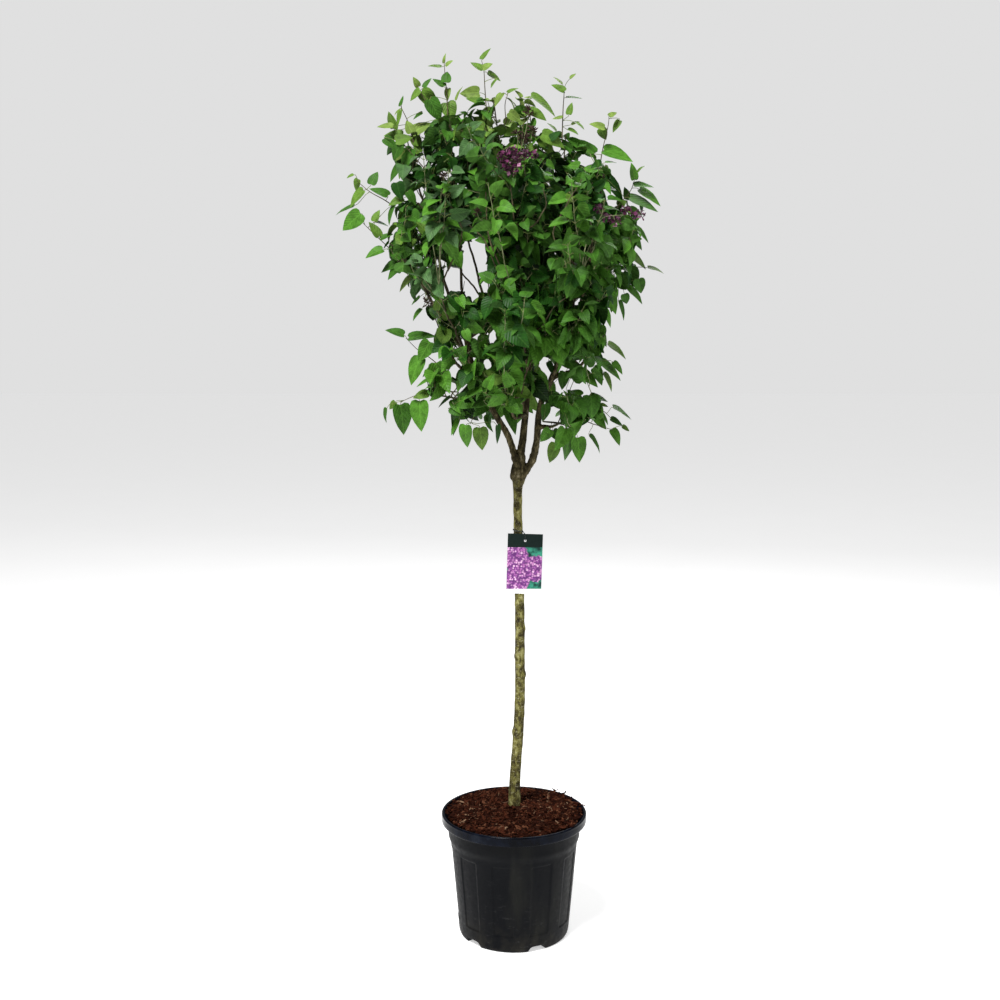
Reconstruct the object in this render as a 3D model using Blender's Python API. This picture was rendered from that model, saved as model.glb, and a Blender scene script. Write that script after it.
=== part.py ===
"""A grafted lilac grown as a small tree, standing in a black nursery pot.

Metres, +Z up. The origin is the centre of the pot's flat underside, and the front of the tree faces -Y.
The pot, its bark-covered soil, the trunk, every bough and every mass of foliage is one closed solid.
"""

import math
import random

import bmesh
import bpy
import numpy as np
from mathutils.bvhtree import BVHTree

UP = np.array((0.0, 0.0, 1.0))
CLEAR = 0.0003  # gap between pieces that touch

# Pot: a 12-litre nursery container, 300 mm across its rim
RIM_RADIUS = 0.150
POT_HEIGHT = 0.257
RIM_BAND = 0.020
LIP_WIDTH = 0.0055
COLLAR_RADIUS = 0.1365
COLLAR_FOOT = 0.191
WALL_TOP_RADIUS = 0.1310
WALL_FOOT_RADIUS = 0.1150
WALL = 0.0032
FLOOR = 0.0125
PANEL_COUNT = 10
PANEL_WIDTH_DEG = 22.0
PANEL_SIDE_DEG = 1.3
PANEL_DEPTH = 0.0020
PANEL_FOOT = 0.034
PANEL_TURN_DEG = -99.0  # the middle of the first panel
NOTCH_COUNT = 6
NOTCH_WIDTH = 0.024
NOTCH_HEIGHT = 0.0085
NOTCH_TURN_DEG = -128.0
INNER_WALL = (  # radius, height, and no sunk panels, from the collar down to the floor
    (COLLAR_RADIUS - WALL, COLLAR_FOOT + 0.004, False),
    (WALL_TOP_RADIUS - WALL - PANEL_DEPTH, COLLAR_FOOT - 0.004, False),
    (WALL_FOOT_RADIUS - WALL - PANEL_DEPTH, FLOOR, False),
)

# Soil: heaped a little above the rim, with a flat seat for the trunk
SEAT_HEIGHT = 0.266
SEAT_RADIUS = 0.020
SOIL_EDGE = 0.249
SOIL_BUMP = 0.0022
SOIL_SIDES = 24

# Trunk
TRUNK_Y = 0.012
TRUNK_TOP = 1.000
TRUNK_LINE = (  # x at height: the stem's lean and its slight S
    (0.001, SEAT_HEIGHT),
    (0.002, 0.320),
    (0.008, 0.406),
    (0.012, 0.493),
    (0.012, 0.577),
    (0.011, 0.702),
    (0.007, 0.887),
    (0.008, 0.955),
    (0.012, TRUNK_TOP),
)
TRUNK_FOOT_RADIUS = 0.0116
TRUNK_WAIST_RADIUS = 0.0090
FLARE = 0.0022
FLARE_HEIGHT = 0.020
UNION_HEIGHT = 0.950  # the graft union
UNION_RADIUS = 0.0155
UNION_HALF_HEIGHT = 0.028
TRUNK_TIP_RADIUS = 0.0082
KNOTS = ((0.423, 180), (0.492, -70), (0.582, 175), (0.640, 20), (0.764, 110))  # height, bearing
KNOT_SWELL = 0.22
KNOT_HALF_HEIGHT = 0.007
TRUNK_SIDES = 8
BOUGH_SIDES = 8
LIMB_SIDES = 5
LIMB_RINGS = 4

# Main boughs: the points of their centre lines, and their radii at root and tip
BOUGHS = {
    "bough_left": (
        ((0.004, 0.012, 0.978), (-0.010, 0.010, 1.030), (-0.036, 0.004, 1.075),
         (-0.062, 0.000, 1.122), (-0.084, 0.002, 1.180), (-0.100, 0.006, 1.250)),
        0.0070, 0.0048),
    "bough_middle": (
        ((0.012, TRUNK_Y, TRUNK_TOP + CLEAR), (0.018, 0.014, 1.040), (0.023, 0.018, 1.088),
         (0.028, 0.024, 1.150), (0.030, 0.030, 1.240)),
        0.0082, 0.0050),
    "bough_right": (
        ((0.014, 0.008, 0.954), (0.034, 0.005, 0.984), (0.044, 0.002, 1.024), (0.050, 0.000, 1.088),
         (0.062, -0.004, 1.126), (0.088, -0.008, 1.176), (0.115, -0.010, 1.225)),
        0.0082, 0.0048),
}

# Limbs and the masses they carry. Each row: the bough it grows from, how far along that bough,
# where the limb enters the mass, and where the mass's leading shoot ends
MASSES = {
    "left_low": ("bough_left", 0.42, (-0.105, -0.025, 1.105), (-0.188, -0.055, 1.140)),
    "left_middle": ("bough_left", 0.60, (-0.125, 0.012, 1.195), (-0.180, 0.020, 1.285)),
    "left_high": ("bough_left", 0.75, (-0.172, -0.035, 1.320), (-0.290, -0.045, 1.490)),
    "left_back": ("bough_left", 0.68, (-0.115, 0.095, 1.240), (-0.175, 0.185, 1.390)),
    "left_front": ("bough_left", 0.52, (-0.095, -0.090, 1.190), (-0.140, -0.185, 1.320)),
    "left_shoulder": ("bough_left", 0.86, (-0.150, 0.060, 1.380), (-0.218, 0.045, 1.650)),
    "left_top": ("bough_left", 1.0, (-0.105, 0.008, 1.325), (-0.132, 0.000, 1.745)),
    "front_low": ("bough_middle", 0.34, (-0.005, -0.075, 1.085), (-0.020, -0.165, 1.135)),
    "front_middle": ("bough_middle", 0.52, (0.010, -0.100, 1.190), (-0.010, -0.205, 1.320)),
    "front_high": ("bough_middle", 0.73, (0.000, -0.085, 1.340), (0.000, -0.155, 1.540)),
    "back_low": ("bough_middle", 0.42, (0.020, 0.090, 1.095), (0.010, 0.175, 1.145)),
    "back_middle": ("bough_middle", 0.62, (0.030, 0.120, 1.220), (0.020, 0.225, 1.370)),
    "back_high": ("bough_middle", 0.84, (0.025, 0.100, 1.370), (0.020, 0.165, 1.600)),
    "top": ("bough_middle", 1.0, (0.012, 0.022, 1.350), (-0.052, -0.005, 1.766)),
    "right_low": ("bough_right", 0.36, (0.082, -0.022, 1.060), (0.140, -0.045, 1.080)),
    "right_middle": ("bough_right", 0.71, (0.135, -0.030, 1.185), (0.198, -0.050, 1.275)),
    "right_high": ("bough_right", 0.78, (0.160, 0.050, 1.320), (0.235, 0.045, 1.470)),
    "right_front": ("bough_right", 0.56, (0.085, -0.095, 1.200), (0.120, -0.190, 1.350)),
    "right_back": ("bough_right", 0.66, (0.100, 0.095, 1.230), (0.150, 0.180, 1.390)),
    "right_shoulder": ("bough_right", 0.88, (0.145, -0.060, 1.390), (0.180, -0.050, 1.620)),
    "right_top": ("bough_right", 1.0, (0.095, 0.012, 1.320), (0.102, 0.020, 1.710)),
}
LIMB_TIP_RADIUS = 0.0028
LIMB_ROOT_SHARE = 0.78  # of the bough's radius where a side limb leaves it

# Foliage: opposite pairs of shoots and leaves, each pair turned a quarter from the last
SEED = 19
SPREAD = 0.165  # the furthest a leaf reaches from its mass's leading shoot
CROWN_X = -0.020  # the middle of the crown
CROWN_FOOT = 0.992
CROWN_TOP = 1.783
SHOOT_SPACING = 0.080  # between pairs of shoots along a leading shoot
MOST_PAIRS = 4
FEWEST_PAIRS = 3
FIRST_PAIR = 0.16  # of the way along the leading shoot
LAST_PAIR = 0.82
SHOOT_ANGLE_DEG = 50
SHOOT_LENGTH = 0.115
SHOOT_TRIES = (1.0, 0.8, 0.62)  # shares of that length, until one fits
SHOOT_RISE = 5.0  # how fast a shoot turns upwards, per metre
SHOOT_MIDDLE = 0.52  # where its pairs of leaves stand
SHOOT_END = 0.95
YOUNG_FROM = 0.6  # of the way along the leading shoot
LEADER_TIP_RADIUS = 0.0017
TWIG_ROOT_RADIUS = 0.0007  # on the leading shoot's own centre line
TWIG_RADIUS = 0.0015
TWIG_TIP_RADIUS = 0.0012
STALK_DEPTH = 0.0004  # of a leaf's stalk past the middle of its twig
TWIG_RINGS = 3
LEADER_RINGS = 5
LEAF_LENGTH = 0.097  # with its stalk
LEAF_WIDTH = 0.60  # of its length
LEAF_THICK = 0.0020
LEAF_TRIES = 3
YOUNG = 0.62  # the size of a young leaf beside a grown one
LEAF_WIDEST = 0.40
LEAF_KEEL = 0.25
LEAF_FOLD = 0.06
LEAF_DROOP = 0.10
CELL_CLEAR = 0.0015
LIMB_CLEAR = 0.0015

# Blossom: the panicles, each on a shoot from a mass's leading shoot to its tip
BLOOMS = {
    "front_high": ((0.000, -0.190, 1.500), (0.004, -0.215, 1.585)),
    "right_shoulder": ((0.188, -0.075, 1.458), (0.248, -0.088, 1.472)),
}
FLORET_ROWS = (3, 2, 2, 1)  # clusters of florets, from the lowest row up
FLORET_RADIUS = 0.0175
FLORET_OFFSET = 0.0095  # from the stalk, in the lowest row

# Plant label: a card on an elastic loop
LABEL_SIZE = (0.071, 0.0008, 0.123)
LABEL_X = 0.0225
LABEL_TOP = 0.838
LABEL_TILT_DEG = 1.6
LABEL_HOLE_DROP = 0.014
LABEL_HOLE_RADIUS = 0.0026
LOOP_RADIUS = 0.0008
LOOP_CLEAR = 0.0006
LOOP_SIDES = 5
LOOP_STEPS = 2  # to each stretch between its knots


def unit(vector):
    return vector / np.linalg.norm(vector)


def material(name, colour, roughness):
    made = bpy.data.materials.new(name)
    made.use_nodes = True
    shader = made.node_tree.nodes["Principled BSDF"]
    shader.inputs["Base Color"].default_value = (*colour, 1.0)
    shader.inputs["Roughness"].default_value = roughness
    return made


def add_object(name, points, faces, finish, holder=None):
    """One object from points and faces, linked to the scene."""
    mesh = bpy.data.meshes.new(name)
    mesh.from_pydata([tuple(map(float, p)) for p in points], [], faces)
    mesh.update()
    made = bpy.data.objects.new(name, mesh)
    made.data.materials.append(finish)
    made.parent = holder
    bpy.context.scene.collection.objects.link(made)
    return made


def smooth(obj, angle_deg=40):
    obj.data.shade_smooth()
    obj.data.set_sharp_from_angle(angle=math.radians(angle_deg))


def make_cutter(obj):
    obj.hide_render = True
    obj.display_type = "WIRE"


def cut(obj, *cutters):
    for cutter in cutters:
        modifier = obj.modifiers.new("cut", "BOOLEAN")
        modifier.object = cutter
        modifier.operation = "DIFFERENCE"
        modifier.solver = "EXACT"


def apply_modifiers(obj):
    graph = bpy.context.evaluated_depsgraph_get()
    made = bpy.data.meshes.new_from_object(obj.evaluated_get(graph))
    obj.modifiers.clear()
    obj.data = made


def ring_faces(rings, sides):
    """The faces of a closed body from rings of points, with its first and last rings capped."""
    faces = [tuple(range(sides))[::-1]]
    for ring in range(rings - 1):
        low, high = ring * sides, (ring + 1) * sides
        for k in range(sides):
            after = (k + 1) % sides
            faces.append((low + k, low + after, high + after, high + k))
    faces.append(tuple(range((rings - 1) * sides, rings * sides)))
    return faces


def frames_along(points, first_tangent=None):
    """A tangent and two cross directions at each point, carried along without twisting."""
    tangents = [unit(b - a) for a, b in zip(points, points[1:])]
    middles = [unit(a + b) for a, b in zip(tangents, tangents[1:])]
    tangents = [tangents[0], *middles, tangents[-1]]
    if first_tangent is not None:
        tangents[0] = first_tangent
    across = np.array((1.0, 0.0, 0.0)) if abs(tangents[0][0]) < 0.8 else np.array((0.0, 1.0, 0.0))
    found = []
    for tangent in tangents:
        across = unit(across - tangent * (across @ tangent))
        found.append((tangent, across, np.cross(tangent, across)))
    return found


def tube(points, radii, sides, first_tangent=None, swell=None):
    """Points and faces of a round limb. swell(point, bearing) scales its radius."""
    made = []
    for point, radius, (_, across, other) in zip(points, radii, frames_along(points, first_tangent)):
        for k in range(sides):
            bearing = math.tau * k / sides
            out = across * math.cos(bearing) + other * math.sin(bearing)
            grown = radius * (swell(point, bearing) if swell else 1.0)
            made.append(point + out * grown)
    return made, ring_faces(len(points), sides)


def spline(knots, steps):
    """A smooth curve through the knots, steps points to each stretch."""
    knots = [np.array(k, float) for k in knots]
    ends = [2 * knots[0] - knots[1], *knots, 2 * knots[-1] - knots[-2]]
    made = []
    for a, b, c, d in zip(ends, ends[1:], ends[2:], ends[3:]):
        for t in np.arange(steps) / steps:
            made.append(0.5 * (2 * b + (c - a) * t + (2 * a - 5 * b + 4 * c - d) * t**2
                               + (3 * b - a - 3 * c + d) * t**3))
    return [*made, knots[-1]]


def bend(start, leaving, end, arriving, steps):
    """A curve from start to end that leaves and arrives along the given directions."""
    pull = np.linalg.norm(end - start)
    made = []
    for t in np.linspace(0, 1, steps):
        made.append((2 * t**3 - 3 * t**2 + 1) * start + (t**3 - 2 * t**2 + t) * leaving * pull
                    + (3 * t**2 - 2 * t**3) * end + (t**3 - t**2) * arriving * pull)
    return made


def along(points, share):
    """The point a share of the way along a line of points, and the direction there."""
    lengths = [np.linalg.norm(b - a) for a, b in zip(points, points[1:])]
    left = share * sum(lengths)
    for a, b, length in zip(points, points[1:], lengths):
        if left <= length:
            return a + (b - a) * left / length, unit(b - a)
        left -= length
    return points[-1], unit(points[-1] - points[-2])


def wall_radius(height):
    share = (height - FLOOR) / (COLLAR_FOOT - FLOOR)
    return WALL_FOOT_RADIUS + (WALL_TOP_RADIUS - WALL_FOOT_RADIUS) * share


def panel_angles():
    """The bearings of a ring's points, and whether each lies in a sunk panel."""
    period = 360 / PANEL_COUNT
    half = PANEL_WIDTH_DEG / 2
    rib = half + PANEL_SIDE_DEG
    offsets = ((-half, True), (0, True), (half, True), (rib, False), (period / 2, False), (period - rib, False))
    return [(math.radians(PANEL_TURN_DEG + period * k + offset), sunk)
            for k in range(PANEL_COUNT) for offset, sunk in offsets]


def make_pot(finish):
    profile = (  # radius, height, and whether the panels are sunk there
        (WALL_FOOT_RADIUS - 0.006, 0.0, False),
        (WALL_FOOT_RADIUS - 0.001, 0.005, False),
        (wall_radius(PANEL_FOOT), PANEL_FOOT, False),
        (wall_radius(PANEL_FOOT + 0.003), PANEL_FOOT + 0.003, True),
        (wall_radius(COLLAR_FOOT - 0.002), COLLAR_FOOT - 0.002, True),
        (COLLAR_RADIUS - 0.002, COLLAR_FOOT, False),
        (COLLAR_RADIUS, POT_HEIGHT - RIM_BAND, False),
        (RIM_RADIUS - 0.002, POT_HEIGHT - RIM_BAND, False),
        (RIM_RADIUS, POT_HEIGHT - RIM_BAND + 0.004, False),
        (RIM_RADIUS, POT_HEIGHT - 0.005, False),
        (RIM_RADIUS - 0.003, POT_HEIGHT, False),
        (RIM_RADIUS - LIP_WIDTH, POT_HEIGHT, False),
        *INNER_WALL,
    )
    angles = panel_angles()
    points = []
    for radius, height, sunk_ring in profile:
        for bearing, sunk in angles:
            r = radius - (PANEL_DEPTH if sunk_ring and sunk else 0)
            points.append((r * math.cos(bearing), r * math.sin(bearing), height))
    pot = add_object("pot", points, ring_faces(len(profile), len(angles)), finish)
    cut(pot, notch_cutter(finish))
    smooth(pot, 30)
    return pot


def spokes(name, count, turn_deg, section, inner, outer, finish):
    """Straight bars of one section that point out from the pot's axis, as a cutter."""
    points, faces = [], []
    for k in range(count):
        bearing = math.radians(turn_deg + 360 * k / count)
        out = np.array((math.cos(bearing), math.sin(bearing), 0.0))
        side = np.cross(UP, out)
        first = len(points)
        for reach in (inner, outer):
            points.extend(out * reach + side * x + UP * z for x, z in section)
        faces.extend(tuple(first + i for i in face) for face in ring_faces(2, len(section)))
    made = add_object(name, points, faces, finish)
    make_cutter(made)
    return made


def notch_cutter(finish):
    half = NOTCH_WIDTH / 2
    section = ((-half, -0.01), (half, -0.01), (half * 0.9, NOTCH_HEIGHT * 0.7), (half * 0.55, NOTCH_HEIGHT),
               (-half * 0.55, NOTCH_HEIGHT), (-half * 0.9, NOTCH_HEIGHT * 0.7))
    return spokes("notches", NOTCH_COUNT, NOTCH_TURN_DEG, section, WALL_FOOT_RADIUS - 0.035, 0.2, finish)


def make_soil(finish):
    """The root ball's soil, which fills the pot, with its mulched top."""
    bumps = random.Random(SEED)
    gap = CLEAR + (1 - math.cos(math.pi / SOIL_SIDES)) * COLLAR_RADIUS
    rows = [(radius - gap, height + CLEAR, 0.0) for radius, height, _ in reversed(INNER_WALL)]
    edge = rows[-1][0]
    rows.append((edge, SOIL_EDGE - 0.004, 0.0))
    for share in (0.95, 0.74, 0.52, 0.32):
        height = SOIL_EDGE + (SEAT_HEIGHT - SOIL_EDGE) * math.cos(share * math.pi / 2) ** 0.7
        rows.append((edge * share, height, SOIL_BUMP))
    rows.append((SEAT_RADIUS, SEAT_HEIGHT, 0.0))
    points = []
    for radius, height, bump in rows:
        for k in range(SOIL_SIDES):
            bearing = math.tau * k / SOIL_SIDES
            z = height + bump * bumps.uniform(-1, 1)
            y = radius * math.sin(bearing) + (TRUNK_Y if radius == SEAT_RADIUS else 0)
            points.append((radius * math.cos(bearing), y, z))
    return add_object("soil", points, ring_faces(len(rows), SOIL_SIDES), finish)


def trunk_radius(height):
    share = (height - SEAT_HEIGHT) / (UNION_HEIGHT - SEAT_HEIGHT)
    radius = TRUNK_FOOT_RADIUS + (TRUNK_WAIST_RADIUS - TRUNK_FOOT_RADIUS) * min(1.0, share * 1.1)
    radius += FLARE * math.exp(-(height - SEAT_HEIGHT) / FLARE_HEIGHT)
    bulge = math.exp(-(((height - UNION_HEIGHT) / UNION_HALF_HEIGHT) ** 2))
    radius += (UNION_RADIUS - TRUNK_WAIST_RADIUS) * bulge
    return radius if height < TRUNK_TOP - 0.001 else TRUNK_TIP_RADIUS


def knot_swell(point, bearing):
    swell = 1.0
    for height, facing in KNOTS:
        near = math.exp(-(((point[2] - height) / KNOT_HALF_HEIGHT) ** 2))
        swell += KNOT_SWELL * near * max(0.0, math.cos(bearing - math.radians(facing))) ** 3
    return swell


def trunk_path():
    line = spline([(x, TRUNK_Y, z) for x, z in TRUNK_LINE], 24)
    heights = [SEAT_HEIGHT + CLEAR, SEAT_HEIGHT + 0.008, SEAT_HEIGHT + 0.022, SEAT_HEIGHT + 0.050]
    for height, _ in KNOTS:
        heights += [height - KNOT_HALF_HEIGHT * 1.6, height, height + KNOT_HALF_HEIGHT * 1.6]
    heights += [0.36, 0.535, 0.70, 0.82, 0.89, 0.918, 0.934, 0.950, 0.966, 0.984, TRUNK_TOP]
    heights.sort()
    zs = [p[2] for p in line]
    return [np.array((np.interp(z, zs, [p[0] for p in line]), TRUNK_Y, z)) for z in heights]


def make_trunk(finish, holder):
    path = trunk_path()
    points, faces = tube(path, [trunk_radius(p[2]) for p in path], TRUNK_SIDES, UP, knot_swell)
    trunk = add_object("trunk", points, faces, finish, holder)
    smooth(trunk, 60)
    return trunk, path


def fat_copy(name, path, radii, sides, finish, first_tangent=None, swell=None):
    """A limb's body grown by the gap its neighbours keep, as a cutter."""
    radii = [r + CLEAR / math.cos(math.pi / sides) + 0.0001 for r in radii]
    first, last = unit(path[1] - path[0]), unit(path[-1] - path[-2])
    path = [path[0] - first * CLEAR, *path[1:-1], path[-1] + last * CLEAR]
    points, faces = tube(path, radii, sides, first_tangent, swell)
    made = add_object(name, points, faces, finish)
    make_cutter(made)
    return made


def make_boughs(finish, holder, trunk_line):
    """The three main boughs. The left and right ones are cut clear of the trunk and the middle one."""
    boughs, lines = {}, {}
    upright = unit(trunk_line[-1] - trunk_line[-2])
    trunk_body = fat_copy("clear_of_trunk", trunk_line, [trunk_radius(p[2]) for p in trunk_line], TRUNK_SIDES,
                          finish, UP, knot_swell)
    for name, (knots, root, tip) in BOUGHS.items():
        line = spline(knots, 2)
        radii = list(np.linspace(root, tip, len(line)))
        first = upright if name == "bough_middle" else None
        boughs[name] = add_object(name, *tube(line, radii, BOUGH_SIDES, first), finish, holder)
        lines[name] = (line, radii)
    middle_body = fat_copy("clear_of_middle", *lines["bough_middle"], BOUGH_SIDES, finish, upright)
    for name in ("bough_left", "bough_right"):
        cut(boughs[name], trunk_body, middle_body)
    for bough in boughs.values():
        smooth(bough, 60)
    return boughs, lines


def limb_line(parent_line, share, root, tip):
    start, heading = along(parent_line, share)
    aim = unit(root - start)
    leaving = heading if share == 1.0 else unit(heading * 0.3 + aim)
    return bend(start, leaving, root, unit(tip - root + UP * 0.3 * np.linalg.norm(tip - root)), LIMB_RINGS)


def make_limbs(finish, holder, lines):
    """One limb for each mass, from the side or the tip of its bough."""
    limbs = {}
    bodies = {name: fat_copy("clear_of_" + name, *lines[name], BOUGH_SIDES, finish) for name in lines}
    for name, (parent, share, root, tip) in MASSES.items():
        parent_line, parent_radii = lines[parent]
        line = limb_line(parent_line, share, np.array(root), np.array(tip))
        there = np.interp(share, np.linspace(0, 1, len(parent_radii)), parent_radii)
        at_tip = share == 1.0
        end = unit(parent_line[-1] - parent_line[-2])
        if at_tip:
            line[0] = line[0] + end * CLEAR
        thick = there if at_tip else there * LIMB_ROOT_SHARE
        radii = list(np.linspace(thick, LIMB_TIP_RADIUS, len(line)))
        points, faces = tube(line, radii, LIMB_SIDES, end if at_tip else None)
        limb = add_object("limb_" + name, points, faces, finish, holder)
        if not at_tip:
            cut(limb, bodies[parent])
        smooth(limb, 60)
        limbs[name] = (line, radii)
    return limbs


def add_body(points, faces, more_points, more_faces):
    first = len(points)
    points += [tuple(p) for p in more_points]
    faces += [tuple(first + i for i in face) for face in more_faces]


def segment_gaps(points, starts, ends):
    """The distance from each point to each straight stretch, as one row for each point."""
    runs = ends - starts
    offsets = points[:, None, :] - starts[None]
    shares = np.clip((offsets * runs).sum(2) / (runs * runs).sum(1), 0, 1)
    return np.linalg.norm(offsets - shares[:, :, None] * runs, axis=2)


class Crown:
    """Where each mass may grow: nearest to its own leading shoot, and clear of every limb."""

    def __init__(self, lines, limbs, trunk_line):
        self.names = list(MASSES)
        self.roots = np.array([MASSES[n][2] for n in self.names])
        self.tips = np.array([MASSES[n][3] for n in self.names])
        wood = [(trunk_line, [trunk_radius(p[2]) for p in trunk_line]), *lines.values(), *limbs.values()]
        self.starts = np.array([p for line, _ in wood for p in line[:-1]])
        self.ends = np.array([p for line, _ in wood for p in line[1:]])
        self.radii = np.array([r for _, radii in wood for r in radii[:-1]])
        points, faces = [], []
        for line, radii in wood:
            add_body(points, faces, *tube(line, [r + LIMB_CLEAR for r in radii], BOUGH_SIDES))
        self.wood = BVHTree.FromPolygons(points, faces)

    def holds(self, name, points, thick):
        points = np.array(points)
        mine = self.names.index(name)
        gaps = segment_gaps(points, self.roots, self.tips)
        others = np.delete(gaps, mine, axis=1).min(1)
        if (gaps[:, mine] + CELL_CLEAR + thick > others).any() or gaps[:, mine].max() > SPREAD:
            return False
        if points[:, 2].min() < CROWN_FOOT or points[:, 2].max() > CROWN_TOP:
            return False
        wood = segment_gaps(points, self.starts, self.ends) - self.radii
        return bool(wood.min() > LIMB_CLEAR + thick)


def shoot_points(root, heading, length, steps=TWIG_RINGS):
    """The line of a shoot that leaves along heading and turns upwards."""
    points = [root]
    for _ in range(steps - 1):
        heading = unit(heading + UP * SHOOT_RISE * length / (steps - 1))
        points.append(points[-1] + heading * length / (steps - 1))
    return points


def leaf_points(base, out, face, length):
    """A leaf's six corners: its stalk's root, its two sides, its tip, and its keel above and below."""
    side = np.cross(out, face)
    width = length * LEAF_WIDTH / 2
    widest = base + out * length * LEAF_WIDEST + face * length * LEAF_FOLD
    keel = base + out * length * LEAF_KEEL
    tip = base + out * length - face * length * LEAF_DROOP
    thick = face * LEAF_THICK / 2
    return [base, widest + side * width, tip, widest - side * width, keel + thick, keel - thick]


LEAF_FACES = [(0, 1, 4), (1, 2, 4), (2, 3, 4), (3, 0, 4), (1, 0, 5), (2, 1, 5), (3, 2, 5), (0, 3, 5)]


def leaf_samples(corners):
    """Points all over a leaf, for the tests of the room it takes."""
    base, left, tip, right, top, bottom = corners
    keel = (top + bottom) / 2
    made = [base * 0.7 + keel * 0.3]
    for a, b in ((base, left), (left, tip), (tip, right), (right, base)):
        for i in range(1, 6):
            for j in range(6 - i + 1):
                u, v = i / 6, j / 6
                made.append(keel + (a - keel) * u + (b - keel) * v)
    return made


def leaf_stance(point, heading, lateral, luck, young):
    """The way a leaf points and the way its face looks. The older it is, the more it hangs."""
    droop = luck.uniform(-0.5, 0.4) if young else luck.uniform(0.4, 1.7)
    out = unit(lateral + heading * 0.3 - UP * droop)
    crown_out = unit(np.array((point[0] - CROWN_X, point[1], 0.0)))
    face = crown_out + UP * luck.uniform(0.2, 0.8) + lateral * luck.uniform(-0.5, 0.5)
    face = unit(face - out * (face @ out))
    return out, face


def quarter_turns(heading, turn):
    """The direction across a shoot, at a turn about it."""
    across = np.cross(heading, UP if abs(heading[2]) < 0.95 else np.array((1.0, 0.0, 0.0)))
    across = unit(across)
    other = np.cross(heading, across)
    return across * math.cos(turn) + other * math.sin(turn)


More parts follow.
